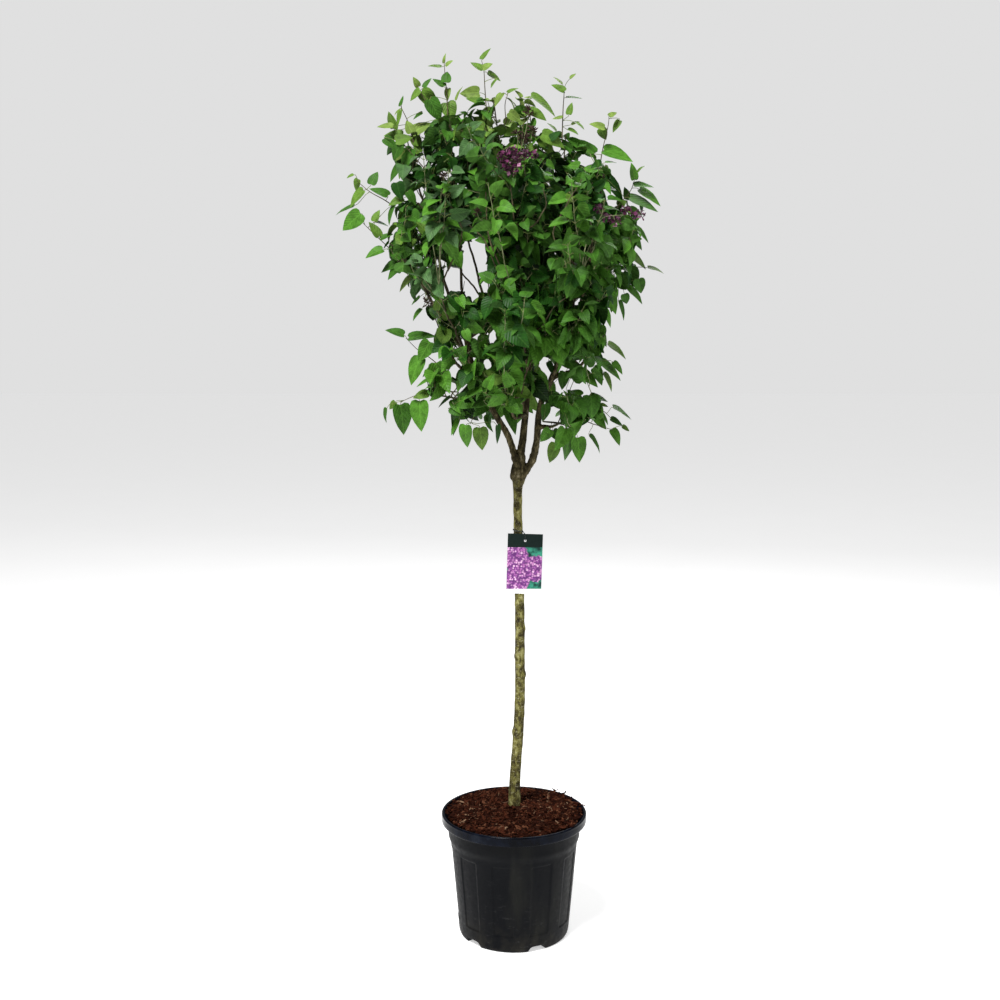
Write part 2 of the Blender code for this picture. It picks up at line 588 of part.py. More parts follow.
class Mass:
    """One mass of foliage: the leading shoot, its side shoots, and their leaves."""

    def __init__(self, name, crown, limb):
        self.name, self.crown = name, crown
        self.luck = random.Random(SEED + 7 * crown.names.index(name))
        self.twigs, self.leaves, self.blobs = [], [], []
        self.points, self.faces = [], []
        line, radii = limb
        arriving = unit(line[-1] - line[-2])
        root = line[-1] + arriving * CLEAR
        tip = np.array(MASSES[name][3])
        pull = unit(tip - root)
        self.leader = bend(root, arriving, tip, unit(pull + UP * 0.5), LEADER_RINGS)
        self.add_twig(self.leader, list(np.linspace(radii[-1], LEADER_TIP_RADIUS, LEADER_RINGS)), arriving)
        self.grow()

    def add_twig(self, line, radii, first_tangent=None):
        self.twigs.append((line, radii, first_tangent))
        add_body(self.points, self.faces, *tube(line, radii, 3, first_tangent))

    def crosses(self, points, faces):
        """Whether a body meets a limb or anything that has grown already."""
        body = BVHTree.FromPolygons([tuple(p) for p in points], faces)
        here = BVHTree.FromPolygons(self.points, self.faces)
        return bool(self.crown.wood.overlap(body) or here.overlap(body))

    def grow(self):
        turn = self.luck.uniform(0, math.pi)
        length = np.linalg.norm(self.leader[-1] - self.leader[0])
        pairs = min(max(round(length / SHOOT_SPACING), FEWEST_PAIRS), MOST_PAIRS)
        step = (LAST_PAIR - FIRST_PAIR) / (pairs - 1)
        for pair in range(pairs):
            for flip in (0, math.pi):
                self.side_shoot(FIRST_PAIR + step * pair, turn + flip)
            turn += math.pi / 2
            self.leaf_pair(self.leader, FIRST_PAIR + step * (pair + 0.5), turn, False)
        self.leaf_pair(self.leader, SHOOT_END, turn + math.pi / 2, True)

    def side_shoot(self, share, turn):
        root, heading = along(self.leader, share)
        lateral = quarter_turns(heading, turn)
        angle = math.radians(SHOOT_ANGLE_DEG + self.luck.uniform(-8, 8))
        aim = unit(heading * math.cos(angle) + lateral * math.sin(angle))
        for shorter in SHOOT_TRIES:
            size = SHOOT_LENGTH * shorter * self.luck.uniform(0.85, 1.05) * (1.1 - 0.5 * share)
            line = shoot_points(root, aim, size)
            radii = [TWIG_ROOT_RADIUS, *np.linspace(TWIG_RADIUS, TWIG_TIP_RADIUS, len(line) - 1)]
            body = BVHTree.FromPolygons(*tube(line, radii, 3))
            if self.crown.holds(self.name, line[1:], TWIG_RADIUS) and not self.crown.wood.overlap(body):
                break
        else:
            return
        self.add_twig(line, radii)
        spin = self.luck.uniform(0, math.pi)
        self.leaf_pair(line, SHOOT_MIDDLE, spin, False)
        self.leaf_pair(line, SHOOT_END, spin + math.pi / 2, share > YOUNG_FROM)

    def leaf_pair(self, line, share, turn, young):
        for flip in (0, math.pi):
            self.leaf_at(line, share, turn + flip, young)

    def leaf_at(self, line, share, turn, young):
        point, heading = along(line, share)
        for _ in range(LEAF_TRIES):
            lateral = quarter_turns(heading, turn + self.luck.uniform(-0.5, 0.5))
            out, face = leaf_stance(point, heading, lateral, self.luck, young)
            length = LEAF_LENGTH * self.luck.uniform(0.85, 1.08) * (YOUNG if young else 1.0)
            corners = leaf_points(point - out * STALK_DEPTH, out, face, length)
            blade = [corners[0] + out * 0.012, *corners[1:]]
            roomy = self.crown.holds(self.name, leaf_samples(corners), LEAF_THICK / 2)
            if roomy and not self.crosses(blade, LEAF_FACES):
                self.leaves.append(corners)
                add_body(self.points, self.faces, blade, LEAF_FACES)
                return

    def bloom(self, base, tip):
        """A panicle: florets in rows round a stalk that springs from the leading shoot."""
        share = min((0.35, 0.55, 0.75), key=lambda s: np.linalg.norm(along(self.leader, s)[0] - base))
        root, heading = along(self.leader, share)
        stalk = [*bend(root, unit(heading + unit(base - root)), base, unit(tip - base), TWIG_RINGS), tip]
        radii = [TWIG_ROOT_RADIUS, *np.linspace(TWIG_RADIUS, TWIG_TIP_RADIUS, TWIG_RINGS)]
        self.add_twig(stalk, radii)
        axis = unit(tip - base)
        for row, count in enumerate(FLORET_ROWS):
            share = row / (len(FLORET_ROWS) - 1)
            size = 1 - 0.45 * share
            for k in range(count):
                out = quarter_turns(axis, math.tau * (k + 0.5 * (row % 2)) / count)
                middle = base + (tip - base) * share + out * FLORET_OFFSET * size
                if self.crown.holds(self.name, [middle], FLORET_RADIUS * size):
                    self.blobs.append((middle, FLORET_RADIUS * size))


def octahedron(middle, radius):
    points = [middle + s * radius * axis for axis in np.eye(3) for s in (1, -1)]
    faces = [(0, 2, 4), (2, 1, 4), (1, 3, 4), (3, 0, 4), (2, 0, 5), (1, 2, 5), (3, 1, 5), (0, 3, 5)]
    return points, faces


def keep_largest_body(mesh):
    """Fills any hollow that fusing has sealed and drops any loose scrap."""
    work = bmesh.new()
    work.from_mesh(mesh)
    left, bodies = set(work.faces), []
    while left:
        body, edge = set(), [left.pop()]
        while edge:
            face = edge.pop()
            body.add(face)
            for near in {f for e in face.edges for f in e.link_faces} & left:
                left.discard(near)
                edge.append(near)
        bodies.append(body)
    bodies.sort(key=len)
    for body in bodies[:-1]:
        bmesh.ops.delete(work, geom=list(body), context="FACES")
    work.to_mesh(mesh)
    work.free()


def fuse(obj, pieces, finish):
    """Joins loose closed pieces to an object by one union, and removes them."""
    group = bpy.data.collections.new("fusing")
    bpy.context.scene.collection.children.link(group)
    for points, faces in pieces:
        piece = add_object("fusing", points, faces, finish)
        bpy.context.scene.collection.objects.unlink(piece)
        group.objects.link(piece)
    modifier = obj.modifiers.new("fuse", "BOOLEAN")
    modifier.operand_type = "COLLECTION"
    modifier.collection = group
    modifier.operation = "UNION"
    modifier.solver = "MANIFOLD"
    apply_modifiers(obj)
    keep_largest_body(obj.data)
    for piece in list(group.objects):
        bpy.data.objects.remove(piece)
    bpy.data.collections.remove(group)


def make_foliage(finish, holder, limbs, crown):
    for name in MASSES:
        mass = Mass(name, crown, limbs[name])
        if name in BLOOMS:
            mass.bloom(*(np.array(p) for p in BLOOMS[name]))
        stem, *others = mass.twigs
        obj = add_object("foliage_" + name, *tube(stem[0], stem[1], 3, stem[2]), finish, holder)
        pieces = [tube(line, radii, 3, first) for line, radii, first in others]
        pieces += [(corners, LEAF_FACES) for corners in mass.leaves]
        pieces += [octahedron(middle, radius) for middle, radius in mass.blobs]
        fuse(obj, pieces, finish)
        print(obj.name, len(mass.twigs), "twigs", len(mass.leaves), "leaves")


def make_label(card, elastic, trunk_line):
    """The plant's label, flat against the trunk, and the loop that it hangs by."""
    width, thick, height = LABEL_SIZE
    heights = [p[2] for p in trunk_line]
    trunk_x = np.interp(LABEL_TOP, heights, [p[0] for p in trunk_line])
    label_y = TRUNK_Y - trunk_radius(LABEL_TOP - height) - CLEAR - thick / 2
    tilt = math.radians(LABEL_TILT_DEG)
    corners = [(x, y, z) for x, z in ((-width / 2, -height), (width / 2, -height), (width / 2, 0), (-width / 2, 0))
               for y in (-thick / 2, thick / 2)]
    faces = [(0, 2, 4, 6), (7, 5, 3, 1), (0, 1, 3, 2), (2, 3, 5, 4), (4, 5, 7, 6), (6, 7, 1, 0)]
    label = add_object("label", corners, faces, card)
    label.location = (LABEL_X, label_y, LABEL_TOP)
    label.rotation_euler = (0, tilt, 0)
    drop = LABEL_HOLE_DROP
    hole_line = [np.array((0.0, y, -drop)) for y in (-0.01, 0.01)]
    hole = add_object("label_hole", *tube(hole_line, [LABEL_HOLE_RADIUS] * 2, 8), card)
    hole.parent = label
    make_cutter(hole)
    cut(label, hole)
    hole_at = np.array((LABEL_X - math.sin(tilt) * drop, label_y, LABEL_TOP - math.cos(tilt) * drop))
    make_loop(elastic, hole_at, np.array((trunk_x, TRUNK_Y, LABEL_TOP)), trunk_radius(LABEL_TOP))


def make_loop(elastic, hole, axis, radius):
    """The loop: through the label's hole, up over its front, and round the trunk above it."""
    around = radius + LOOP_RADIUS + LOOP_CLEAR
    knots = [
        hole,
        hole + (-0.0004, -0.0024, 0.0030),
        (hole[0] - 0.0012, hole[1] - 0.0022, axis[2] + 0.0010),
        (axis[0] + around * 0.55, axis[1] - around * 1.0, axis[2] + 0.0050),
        axis + (-around * 0.72, -around * 0.78, 0.0066),
        axis + (-around, around * 0.25, 0.0072),
        axis + (-around * 0.3, around, 0.0066),
        axis + (around * 0.85, around * 0.62, 0.0040),
        (hole[0] + 0.0004, axis[1] - around * 0.15, axis[2] - LABEL_HOLE_DROP * 0.55),
    ]
    knots = [np.array(k) for k in knots]
    count = len(knots)
    line = []
    for i in range(count):
        a, b, c, d = (knots[(i + k) % count] for k in range(-1, 3))
        for t in np.arange(LOOP_STEPS) / LOOP_STEPS:
            line.append(0.5 * (2 * b + (c - a) * t + (2 * a - 5 * b + 4 * c - d) * t**2
                               + (3 * b - a - 3 * c + d) * t**3))
    points, faces = [], []
    rings = len(line)
    for i, point in enumerate(line):
        tangent = unit(line[(i + 1) % rings] - line[i - 1])
        away = (point - axis) * (1, 1, 0)
        across = unit(away - tangent * (away @ tangent))
        other = np.cross(tangent, across)
        low, high = i * LOOP_SIDES, (i + 1) % rings * LOOP_SIDES
        for k in range(LOOP_SIDES):
            bearing = math.tau * k / LOOP_SIDES
            points.append(point + (across * math.cos(bearing) + other * math.sin(bearing)) * LOOP_RADIUS)
            after = (k + 1) % LOOP_SIDES
            faces.append((low + k, low + after, high + after, high + k))
    smooth(add_object("label_loop", points, faces, elastic), 60)


def main():
    for obj in list(bpy.data.objects):
        bpy.data.objects.remove(obj)
    plastic = material("pot plastic", (0.020, 0.022, 0.025), 0.45)
    mulch = material("bark mulch", (0.075, 0.030, 0.018), 0.9)
    bark = material("bark", (0.150, 0.120, 0.060), 0.85)
    leaf = material("foliage", (0.075, 0.190, 0.030), 0.5)
    card = material("label card", (0.250, 0.080, 0.220), 0.35)
    elastic = material("elastic", (0.020, 0.030, 0.025), 0.6)
    tree = bpy.data.objects.new("tree", None)
    bpy.context.scene.collection.objects.link(tree)
    make_pot(plastic)
    make_soil(mulch)
    _, trunk_line = make_trunk(bark, tree)
    _, lines = make_boughs(bark, tree, trunk_line)
    limbs = make_limbs(bark, tree, lines)
    make_foliage(leaf, tree, limbs, Crown(lines, limbs, trunk_line))
    make_label(card, elastic, trunk_line)


main()
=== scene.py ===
"""The looks of a grafted lilac in a black nursery pot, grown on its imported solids.

Metres, +Z up. The origin is the centre of the pot's flat underside, and the front of the tree faces -Y.
"""

import math
import random

import bpy
import numpy as np
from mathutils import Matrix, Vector, noise


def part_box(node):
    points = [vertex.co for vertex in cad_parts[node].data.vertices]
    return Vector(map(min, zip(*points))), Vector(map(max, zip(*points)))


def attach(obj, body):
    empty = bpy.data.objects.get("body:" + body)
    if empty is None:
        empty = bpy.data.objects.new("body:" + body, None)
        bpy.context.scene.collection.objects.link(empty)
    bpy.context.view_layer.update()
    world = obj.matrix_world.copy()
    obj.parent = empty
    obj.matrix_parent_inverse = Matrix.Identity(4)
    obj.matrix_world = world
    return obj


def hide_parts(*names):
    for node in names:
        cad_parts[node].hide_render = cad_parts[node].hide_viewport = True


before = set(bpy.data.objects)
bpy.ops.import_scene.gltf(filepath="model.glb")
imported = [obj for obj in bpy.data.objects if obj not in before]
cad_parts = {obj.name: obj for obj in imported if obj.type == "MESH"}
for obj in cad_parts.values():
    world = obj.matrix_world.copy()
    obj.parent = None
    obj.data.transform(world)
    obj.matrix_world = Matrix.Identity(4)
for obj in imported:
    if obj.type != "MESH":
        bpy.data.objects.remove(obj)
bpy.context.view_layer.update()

UP = np.array((0.0, 0.0, 1.0))
UNIT_Y = np.array((0.0, 1.0, 0.0))

# Camera, at the photograph's angle
CAMERA_PLACE = np.array((-0.029, -2.6, 1.237))
CAMERA_PITCH_DEG = 7.23
CAMERA_LENS = 46.84
SENSOR_WIDTH = 36.0
PHOTO_SIZE = 1000  # pixels each way

# Studio
WORLD_LIGHT = 0.28
FLOOR_GLOW = 0.52
BACKGROUND = 0.745
FLOOR_HALF = 25.0
LAMP_AIM = (0, 0, 1.1)
LAMPS = (  # name, place, width, power
    ("key", (-1.3, -2.1, 4.1), 1.2, 265.0),
    ("fill", (2.6, -1.6, 1.8), 2.2, 26.0),
    ("back", (0.6, 2.8, 3.2), 2.0, 60.0),
)

# Pot
RIM_RADIUS = 0.150
POT_HEIGHT = 0.257
RIM_BAND = 0.020
COLLAR_RADIUS = 0.1365
COLLAR_FOOT = 0.191
TAPER_HEIGHT = 0.021
TAPER_STEPS = 9
TAPER_SHORT = 0.0003  # of the collar's radius, where the taper ends
WALL_TOP_RADIUS = 0.1310
WALL_FOOT_RADIUS = 0.1150
WALL = 0.0032
FLOOR = 0.0125
PANEL_COUNT = 10
PANEL_HALF_DEG = 9.8
PANEL_SIDE_DEG = 0.85
PANEL_DEPTH = 0.0017
PANEL_FOOT = 0.034
PANEL_TURN_DEG = -100.6
NOTCH_COUNT = 5
NOTCH_WIDTH = 0.042
NOTCH_HEIGHT = 0.0112
NOTCH_TURN_DEG = -137.5
NOTCH_INNER = 0.080
NOTCH_SQUARE = 5  # the higher, the squarer the notch's roof
NOTCH_FADE = 0.0175  # above this the wall's rings lie level
NOTCH_RING_RISE = 0.30
PANEL_STEP = 0.003
PANEL_HEAD = 0.004
PANEL_ARCH = 0.004
POT_SIDES = 480
# The pot's outline in short steps
FOOT_ROUND = ((0.006, 0.0), (0.003, 0.0012), (0.0015, 0.004))  # in from the wall's foot, height
PANEL_FOOT_RINGS = (0.009, 0.0145, 0.021, 0.028, 0.0325, PANEL_FOOT, 0.0350, 0.0362, 0.0375, 0.040)
WALL_MIDDLE = (0.046, COLLAR_FOOT - 0.012, 12)  # from height, to height, rings
PANEL_HEAD_DROPS = (0.0085, 0.0065, 0.0050, 0.0035)  # below the collar
RIM_FILLET = ((0.0, 0.0030), (0.0006, 0.0010), (0.0020, 0.0002))  # out from the collar, below the rim's foot
RIM_EDGE = 0.0034
# An arc: its centre's distance in from the rim and up from its foot, its radius, first and last degree, steps
RIM_FOOT_ARC = (0.0030, 0.0028, 0.0026, -80, 0, 5)
RIM_FACE = (0.0002, 0.0065, 0.0075)  # in from the rim's radius, up from its foot, down from its top
RIM_TOP_ARC = (0.0032, 0.0034, 0.0032, -25, 180, 15)  # as above, but its centre down from the rim's top
# Out from the collar's inside, and below the rim's top
INSIDE_RINGS = ((0.010, 0.008), (0.004, 0.012), (0.0, 0.017), (-0.0005, 0.021), (-0.002, 0.023))

# Soil and its mulch
SEAT_HEIGHT = 0.266
SOIL_EDGE = 0.2515
SOIL_RADIUS = 0.1328
SOIL_FOOT = 0.236
SOIL_SIDES = 160
SOIL_RINGS = 60
SOIL_HEAPS = (  # x, y, reach along x and y, height
    (0.098, -0.055, 0.030, 0.045, 0.0085),
    (0.080, 0.070, 0.035, 0.035, 0.0050),
)
SOIL_LUMPS = ((0.0016, 0, 90), (0.0012, 3, 230))  # height, level of the noise, lumps a metre
CHIPS = 2900
CHIP_REACH = 0.140
CHIP_LENGTH = 0.0078
CHIP_LENGTH_SPREAD = 0.42
CHIP_SHORTEST = 0.0035
CHIP_LONGEST = 0.022
CHIP_STEM_CLEAR = 0.016
RIM_CHIPS = 46  # of them lie on the rim
RIM_PILES = ((-35, 10), (-35, 14), (38, 22))  # bearing and spread of these
RIM_PILE_REACH = (0.131, 0.1475)
CHIP_WIDTHS = (0.22, 0.55)  # of the length
CHIP_THICKNESSES = (0.0008, 0.0020)
EDGE_RADIUS = 0.130  # outside this the chips are short
EDGE_LENGTH = 0.007
FIBRES = 520
FIBRE_REACH = 0.127
FIBRE_STEM_CLEAR = 0.017
MULCH_TONES = (  # darkest and palest colour
    ("mulch_dark", (0.006, 0.0014, 0.0007), (0.026, 0.0068, 0.0034)),
    ("mulch_red", (0.022, 0.0058, 0.0026), (0.070, 0.020, 0.0095)),
    ("mulch_brown", (0.055, 0.019, 0.009), (0.135, 0.054, 0.028)),
    ("mulch_pale", (0.120, 0.066, 0.038), (0.250, 0.160, 0.100)),
)
CHIP_SHARES = (0.54, 0.35, 0.09, 0.02)
FIBRE_SHARES = (0.0, 0.52, 0.36, 0.12)

# Trunk. Its line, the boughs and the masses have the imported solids' points, except that the trunk and the
# middle bough begin a little lower here
TRUNK_Y = 0.012
TRUNK_TOP = 1.000
TRUNK_LINE = (  # x, height
    (0.001, 0.258), (0.002, 0.320), (0.008, 0.406), (0.012, 0.493), (0.012, 0.577), (0.011, 0.702),
    (0.007, 0.887), (0.008, 0.955), (0.012, TRUNK_TOP),
)
TRUNK_FOOT_RADIUS = 0.0116
TRUNK_WAIST_RADIUS = 0.0090
FLARE = 0.0022
FLARE_HEIGHT = 0.020
UNION_HEIGHT = 0.955
UNION_RADIUS = 0.0160
UNION_HALF_HEIGHT = 0.034
UNION_DROP = 0.015
TRUNK_TIP_RADIUS = 0.0082
# Height and bearing
KNOTS = ((0.423, 180), (0.492, -70), (0.582, 175), (0.640, 20), (0.764, 110), (0.694, -120), (0.545, -20))
KNOT_SWELL = 0.24
KNOT_HALF_HEIGHT = 0.006
BARK_VOXEL = 0.0015
WOOD_SIDES = 20
FURROW_DEPTH = 0.0005
KNOB_DEPTH = 0.0007
BURR_DEPTH = 0.0016
BURR_FOOT = (0.932, 0.948)  # the graft's rough bark comes in between these heights
BURR_HEAD = (0.985, 1.05)  # and goes out between these

BOUGHS = {  # points, then the radius at the foot and at the tip
    "bough_left": (
        ((0.004, 0.012, 0.978), (-0.010, 0.010, 1.030), (-0.036, 0.004, 1.075),
         (-0.062, 0.000, 1.122), (-0.084, 0.002, 1.180), (-0.100, 0.006, 1.250)),
        0.0070, 0.0048),
    "bough_middle": (
        ((0.012, TRUNK_Y, 0.990), (0.018, 0.014, 1.040), (0.023, 0.018, 1.088),
         (0.028, 0.024, 1.150), (0.030, 0.030, 1.240)),
        0.0082, 0.0050),
    "bough_right": (
        ((0.014, 0.008, 0.954), (0.034, 0.005, 0.984), (0.044, 0.002, 1.024), (0.050, 0.000, 1.088),
         (0.062, -0.004, 1.126), (0.088, -0.008, 1.176), (0.115, -0.010, 1.225)),
        0.0082, 0.0048),
}

# Masses of foliage: bough, share along it, where the limb enters the mass, where its leading shoot ends
MASSES = {
    "left_low": ("bough_left", 0.42, (-0.105, -0.025, 1.105), (-0.188, -0.055, 1.140)),
    "left_middle": ("bough_left", 0.60, (-0.125, 0.012, 1.195), (-0.180, 0.020, 1.285)),
    "left_high": ("bough_left", 0.75, (-0.172, -0.035, 1.320), (-0.290, -0.045, 1.490)),
    "left_back": ("bough_left", 0.68, (-0.115, 0.095, 1.240), (-0.175, 0.185, 1.390)),
    "left_front": ("bough_left", 0.52, (-0.095, -0.090, 1.190), (-0.140, -0.185, 1.320)),
    "left_shoulder": ("bough_left", 0.86, (-0.150, 0.060, 1.380), (-0.218, 0.045, 1.650)),
    "left_top": ("bough_left", 1.0, (-0.105, 0.008, 1.325), (-0.132, 0.000, 1.745)),
    "front_low": ("bough_middle", 0.34, (-0.005, -0.075, 1.085), (-0.020, -0.165, 1.135)),
    "front_middle": ("bough_middle", 0.52, (0.010, -0.100, 1.190), (-0.010, -0.205, 1.320)),
    "front_high": ("bough_middle", 0.73, (0.000, -0.085, 1.340), (0.000, -0.155, 1.540)),
    "back_low": ("bough_middle", 0.42, (0.020, 0.090, 1.095), (0.010, 0.175, 1.145)),
    "back_middle": ("bough_middle", 0.62, (0.030, 0.120, 1.220), (0.020, 0.225, 1.370)),
    "back_high": ("bough_middle", 0.84, (0.025, 0.100, 1.370), (0.020, 0.165, 1.600)),
    "top": ("bough_middle", 1.0, (0.012, 0.022, 1.350), (-0.052, -0.005, 1.766)),
    "right_low": ("bough_right", 0.36, (0.082, -0.022, 1.060), (0.140, -0.045, 1.080)),
    "right_middle": ("bough_right", 0.71, (0.135, -0.030, 1.185), (0.198, -0.050, 1.275)),
    "right_high": ("bough_right", 0.78, (0.160, 0.050, 1.320), (0.235, 0.045, 1.470)),
    "right_front": ("bough_right", 0.56, (0.085, -0.095, 1.200), (0.120, -0.190, 1.350)),
    "right_back": ("bough_right", 0.66, (0.100, 0.095, 1.230), (0.150, 0.180, 1.390)),
    "right_shoulder": ("bough_right", 0.88, (0.145, -0.060, 1.390), (0.180, -0.050, 1.620)),
    "right_top": ("bough_right", 1.0, (0.095, 0.012, 1.320), (0.102, 0.020, 1.710)),
}
LIMB_TIP_RADIUS = 0.0028
LIMB_ROOT_SHARE = 0.78

# Growth
SEED = 19
SHOOT_SPACING = 0.029
SHOOT_ANGLE_DEG = 50
SHOOT_LENGTH = 0.120
SHOOT_RISE = 5.0
SHOOT_STRAY = 0.06
SHOOT_TRIES = (1.0, 0.75, 0.5)
LEADER_TIP_RADIUS = 0.0011
TWIG_RADIUS = 0.0011
TWIG_TIP_RADIUS = 0.0006
OUTER_TWIG_RADIUS = 0.0015
STALK_RADIUS = 0.0006
STEP = 0.012  # between the points of a shoot's line
INTERNODE = 0.020
LAST_LEAF = 0.97  # of the way along a shoot
LEAF_LENGTH = 0.037
STALK_LENGTH = 0.015
STALK_LEAST = 0.004
LEAF_TRIES = 6
LEAF_STRAY = 0.60
# Below which share of the crown's height, then the least and most droop
LEAF_DROOPS = ((0.45, 0.5, 1.8), (0.8, 0.1, 1.4), (9.0, -0.3, 0.8))
LEAF_APART = 0.0030
PLACED_GROWTH = 1.14
PLACED_WIDTHS = (0.85, 1.15)  # the narrowest and widest, of a blade's usual width
BUD_LEAF = 0.022  # a shorter leaf is a young one
BUD_LEAF_HEIGHT = 1.60
SPRAY_STAGGER = 0.007  # its leaves stand by turns before and behind its twig
LEAST_LEAVES = 2  # on a shoot that is kept
MOST_LEAVES = 12000
LEADER_LEAST = 10  # points of a leader that are kept where it leaves the crown
PIECE_LEAVES = 1500  # joined into one piece
CROWN_MIDDLE = np.array((-0.020, 0.0, 1.36))
CROWN_DEPTH = 0.283
CROWN_FOOT = 0.996
CROWN_TOP = 1.784
CROWN_START = 1.0
CROWN_TALL = 0.78
CROWN_HALF_WIDTH = 0.27
CROWN_SPARE = 0.02  # beyond half the outline's width
CROWN_LEAST_HALF = 0.08
CROWN_FRONT = -0.300
CROWN_BACK = 0.308
WOOD_CLEAR = 0.002
SHOOT_CLEAR = 0.001
NEAR_WOOD = 0.07  # wood further away isn't tested
NEAR_LEAF = 0.06
DEPTH_ROWS = (  # heights, and the crown's half depth at each
    (0.98, 1.06, 1.20, 1.35, 1.50, 1.62, 1.72, 1.78),
    (0.08, 0.16, 0.225, 0.275, 0.265, 0.22, 0.135, 0.08),
)
BODY_SHARE = 1.02
FRINGE_SHARE = 1.22
FRINGE_SHOOTS = 150
FRINGE_HEIGHTS = (1.06, 1.70)
FRINGE_ACROSS = 0.94
FRINGE_DEEP = 1.14

# The crown's body from the front, slid along the sight lines to the plane y = 0: x and height down each side,
# in millimetres, read in the photo under a grid of 20 mm
LEFT_SIDE = np.array((
    (-45, 1708), (-68, 1692), (-80, 1675), (-138, 1660), (-160, 1640), (-225, 1618), (-245, 1595),
    (-240, 1560), (-215, 1538), (-218, 1510), (-230, 1485), (-236, 1450), (-240, 1430), (-258, 1410),
    (-258, 1385), (-222, 1345), (-198, 1305), (-162, 1268), (-152, 1245), (-165, 1208), (-190, 1180),
    (-190, 1150), (-164, 1108), (-120, 1068), (-75, 1028), (-20, 1008), (-5, 978),
))
RIGHT_SIDE = np.array((
    (-45, 1708), (20, 1690), (50, 1675), (75, 1650), (112, 1630), (120, 1615), (160, 1600), (178, 1565),
    (200, 1545), (222, 1525), (245, 1508), (262, 1488), (245, 1462), (247, 1430), (242, 1405), (232, 1385),
    (238, 1355), (235, 1335), (212, 1305), (190, 1285), (173, 1262), (182, 1235), (180, 1205), (192, 1175),
    (180, 1150), (152, 1130), (178, 1105), (180, 1085), (160, 1068), (120, 1030), (100, 1008), (40, 978),
))
# Places open to the sky from the front, most of them read in the same way and some given one by one: x,
# height, half width, half height
SKY = np.array((
    (-30, 1662, 12, 9), (58, 1640, 9, 8), (-18, 1611, 8, 6), (-206, 1600, 6, 12), (-113, 1592, 7, 11),
    (83, 1600, 8, 8), (28, 1602, 6, 5), (139, 1577, 11, 11), (-181, 1572, 7, 11), (-137, 1546, 12, 6),
    (10, 1537, 6, 5), (180, 1513, 12, 5), (191, 1492, 10, 6), (-186, 1508, 9, 13), (-183, 1444, 8, 9),
    (-190, 1409, 10, 6), (-80, 1412, 24, 6), (-88, 1384, 14, 17), (-66, 1390, 11, 20), (-147, 1377, 6, 10),
    (-120, 1342, 20, 21), (-84, 1331, 13, 22), (-60, 1330, 7, 10), (-184, 1314, 10, 8), (121, 1304, 7, 9),
    (-105, 1226, 6, 8), (-76, 1233, 6, 8), (-43, 1232, 6, 12), (-161, 1192, 7, 10), (-86, 1190, 6, 10),
    (-53, 1176, 8, 12), (-2, 1171, 6, 10), (57, 1180, 9, 13), (70, 1160, 7, 14), (-122, 1165, 6, 9),
    (-124, 1136, 8, 9), (124, 1136, 13, 7), (92, 1131, 10, 6), (144, 1121, 8, 8), (-138, 1111, 12, 8),
    (72, 1084, 11, 15), (86, 1062, 12, 10), (-10, 1062, 10, 20), (-36, 1056, 9, 16), (9, 1047, 7, 10),
    (144, 1056, 12, 8),
)) / 1000
# Bare shoots seen between the leaves: depth, radius, then points (x, height) slid to the plane y = 0, in mm
BARE = (
    (0, 3.0, ((-58, 1262), (-62, 1312), (-71, 1345), (-79, 1380), (-89, 1409), (-96, 1450))),
    (-15, 2.3, ((-62, 1302), (-82, 1333), (-104, 1360), (-112, 1384))),
    (10, 1.4, ((-124, 1300), (-131, 1322), (-143, 1356))),
    (-30, 1.6, ((-128, 1200), (-143, 1236), (-163, 1282))),
    (-185, 1.5, ((-110, 1462), (-125, 1487), (-147, 1518))),
    (-200, 1.6, ((-30, 1352), (-40, 1378), (-62, 1423), (-90, 1452))),
    (-190, 1.5, ((78, 1450), (98, 1483), (115, 1512), (131, 1539))),
    (-200, 1.5, ((-54, 1450), (-56, 1490), (-57, 1550), (-60, 1600))),
    (-215, 1.4, ((-4, 1480), (-8, 1518), (-14, 1566))),
    (-205, 1.4, ((52, 1470), (62, 1492), (55, 1522))),
    (-200, 1.6, ((-22, 1222), (-30, 1262), (-48, 1302), (-52, 1340))),
    (-195, 1.5, ((60, 1262), (78, 1292), (104, 1312))),
    (-170, 1.7, ((14, 1120), (22, 1160), (40, 1196), (70, 1222))),
)

# Places where no leaf hides the boughs from the front: x, height and radius, in millimetres
BOUGH_DEPTH = -12
BOUGH_VIEWS = (
    (16, 1024, 11), (18, 1046, 12), (21, 1070, 12), (22, 1094, 11), (-6, 1026, 9), (-19, 1045, 10),
    (-35, 1066, 10), (-45, 1085, 8), (38, 1026, 10), (41, 1052, 10), (43, 1080, 9), (48, 1106, 7),
    (18, 1212, 8), (14, 1234, 7),
)
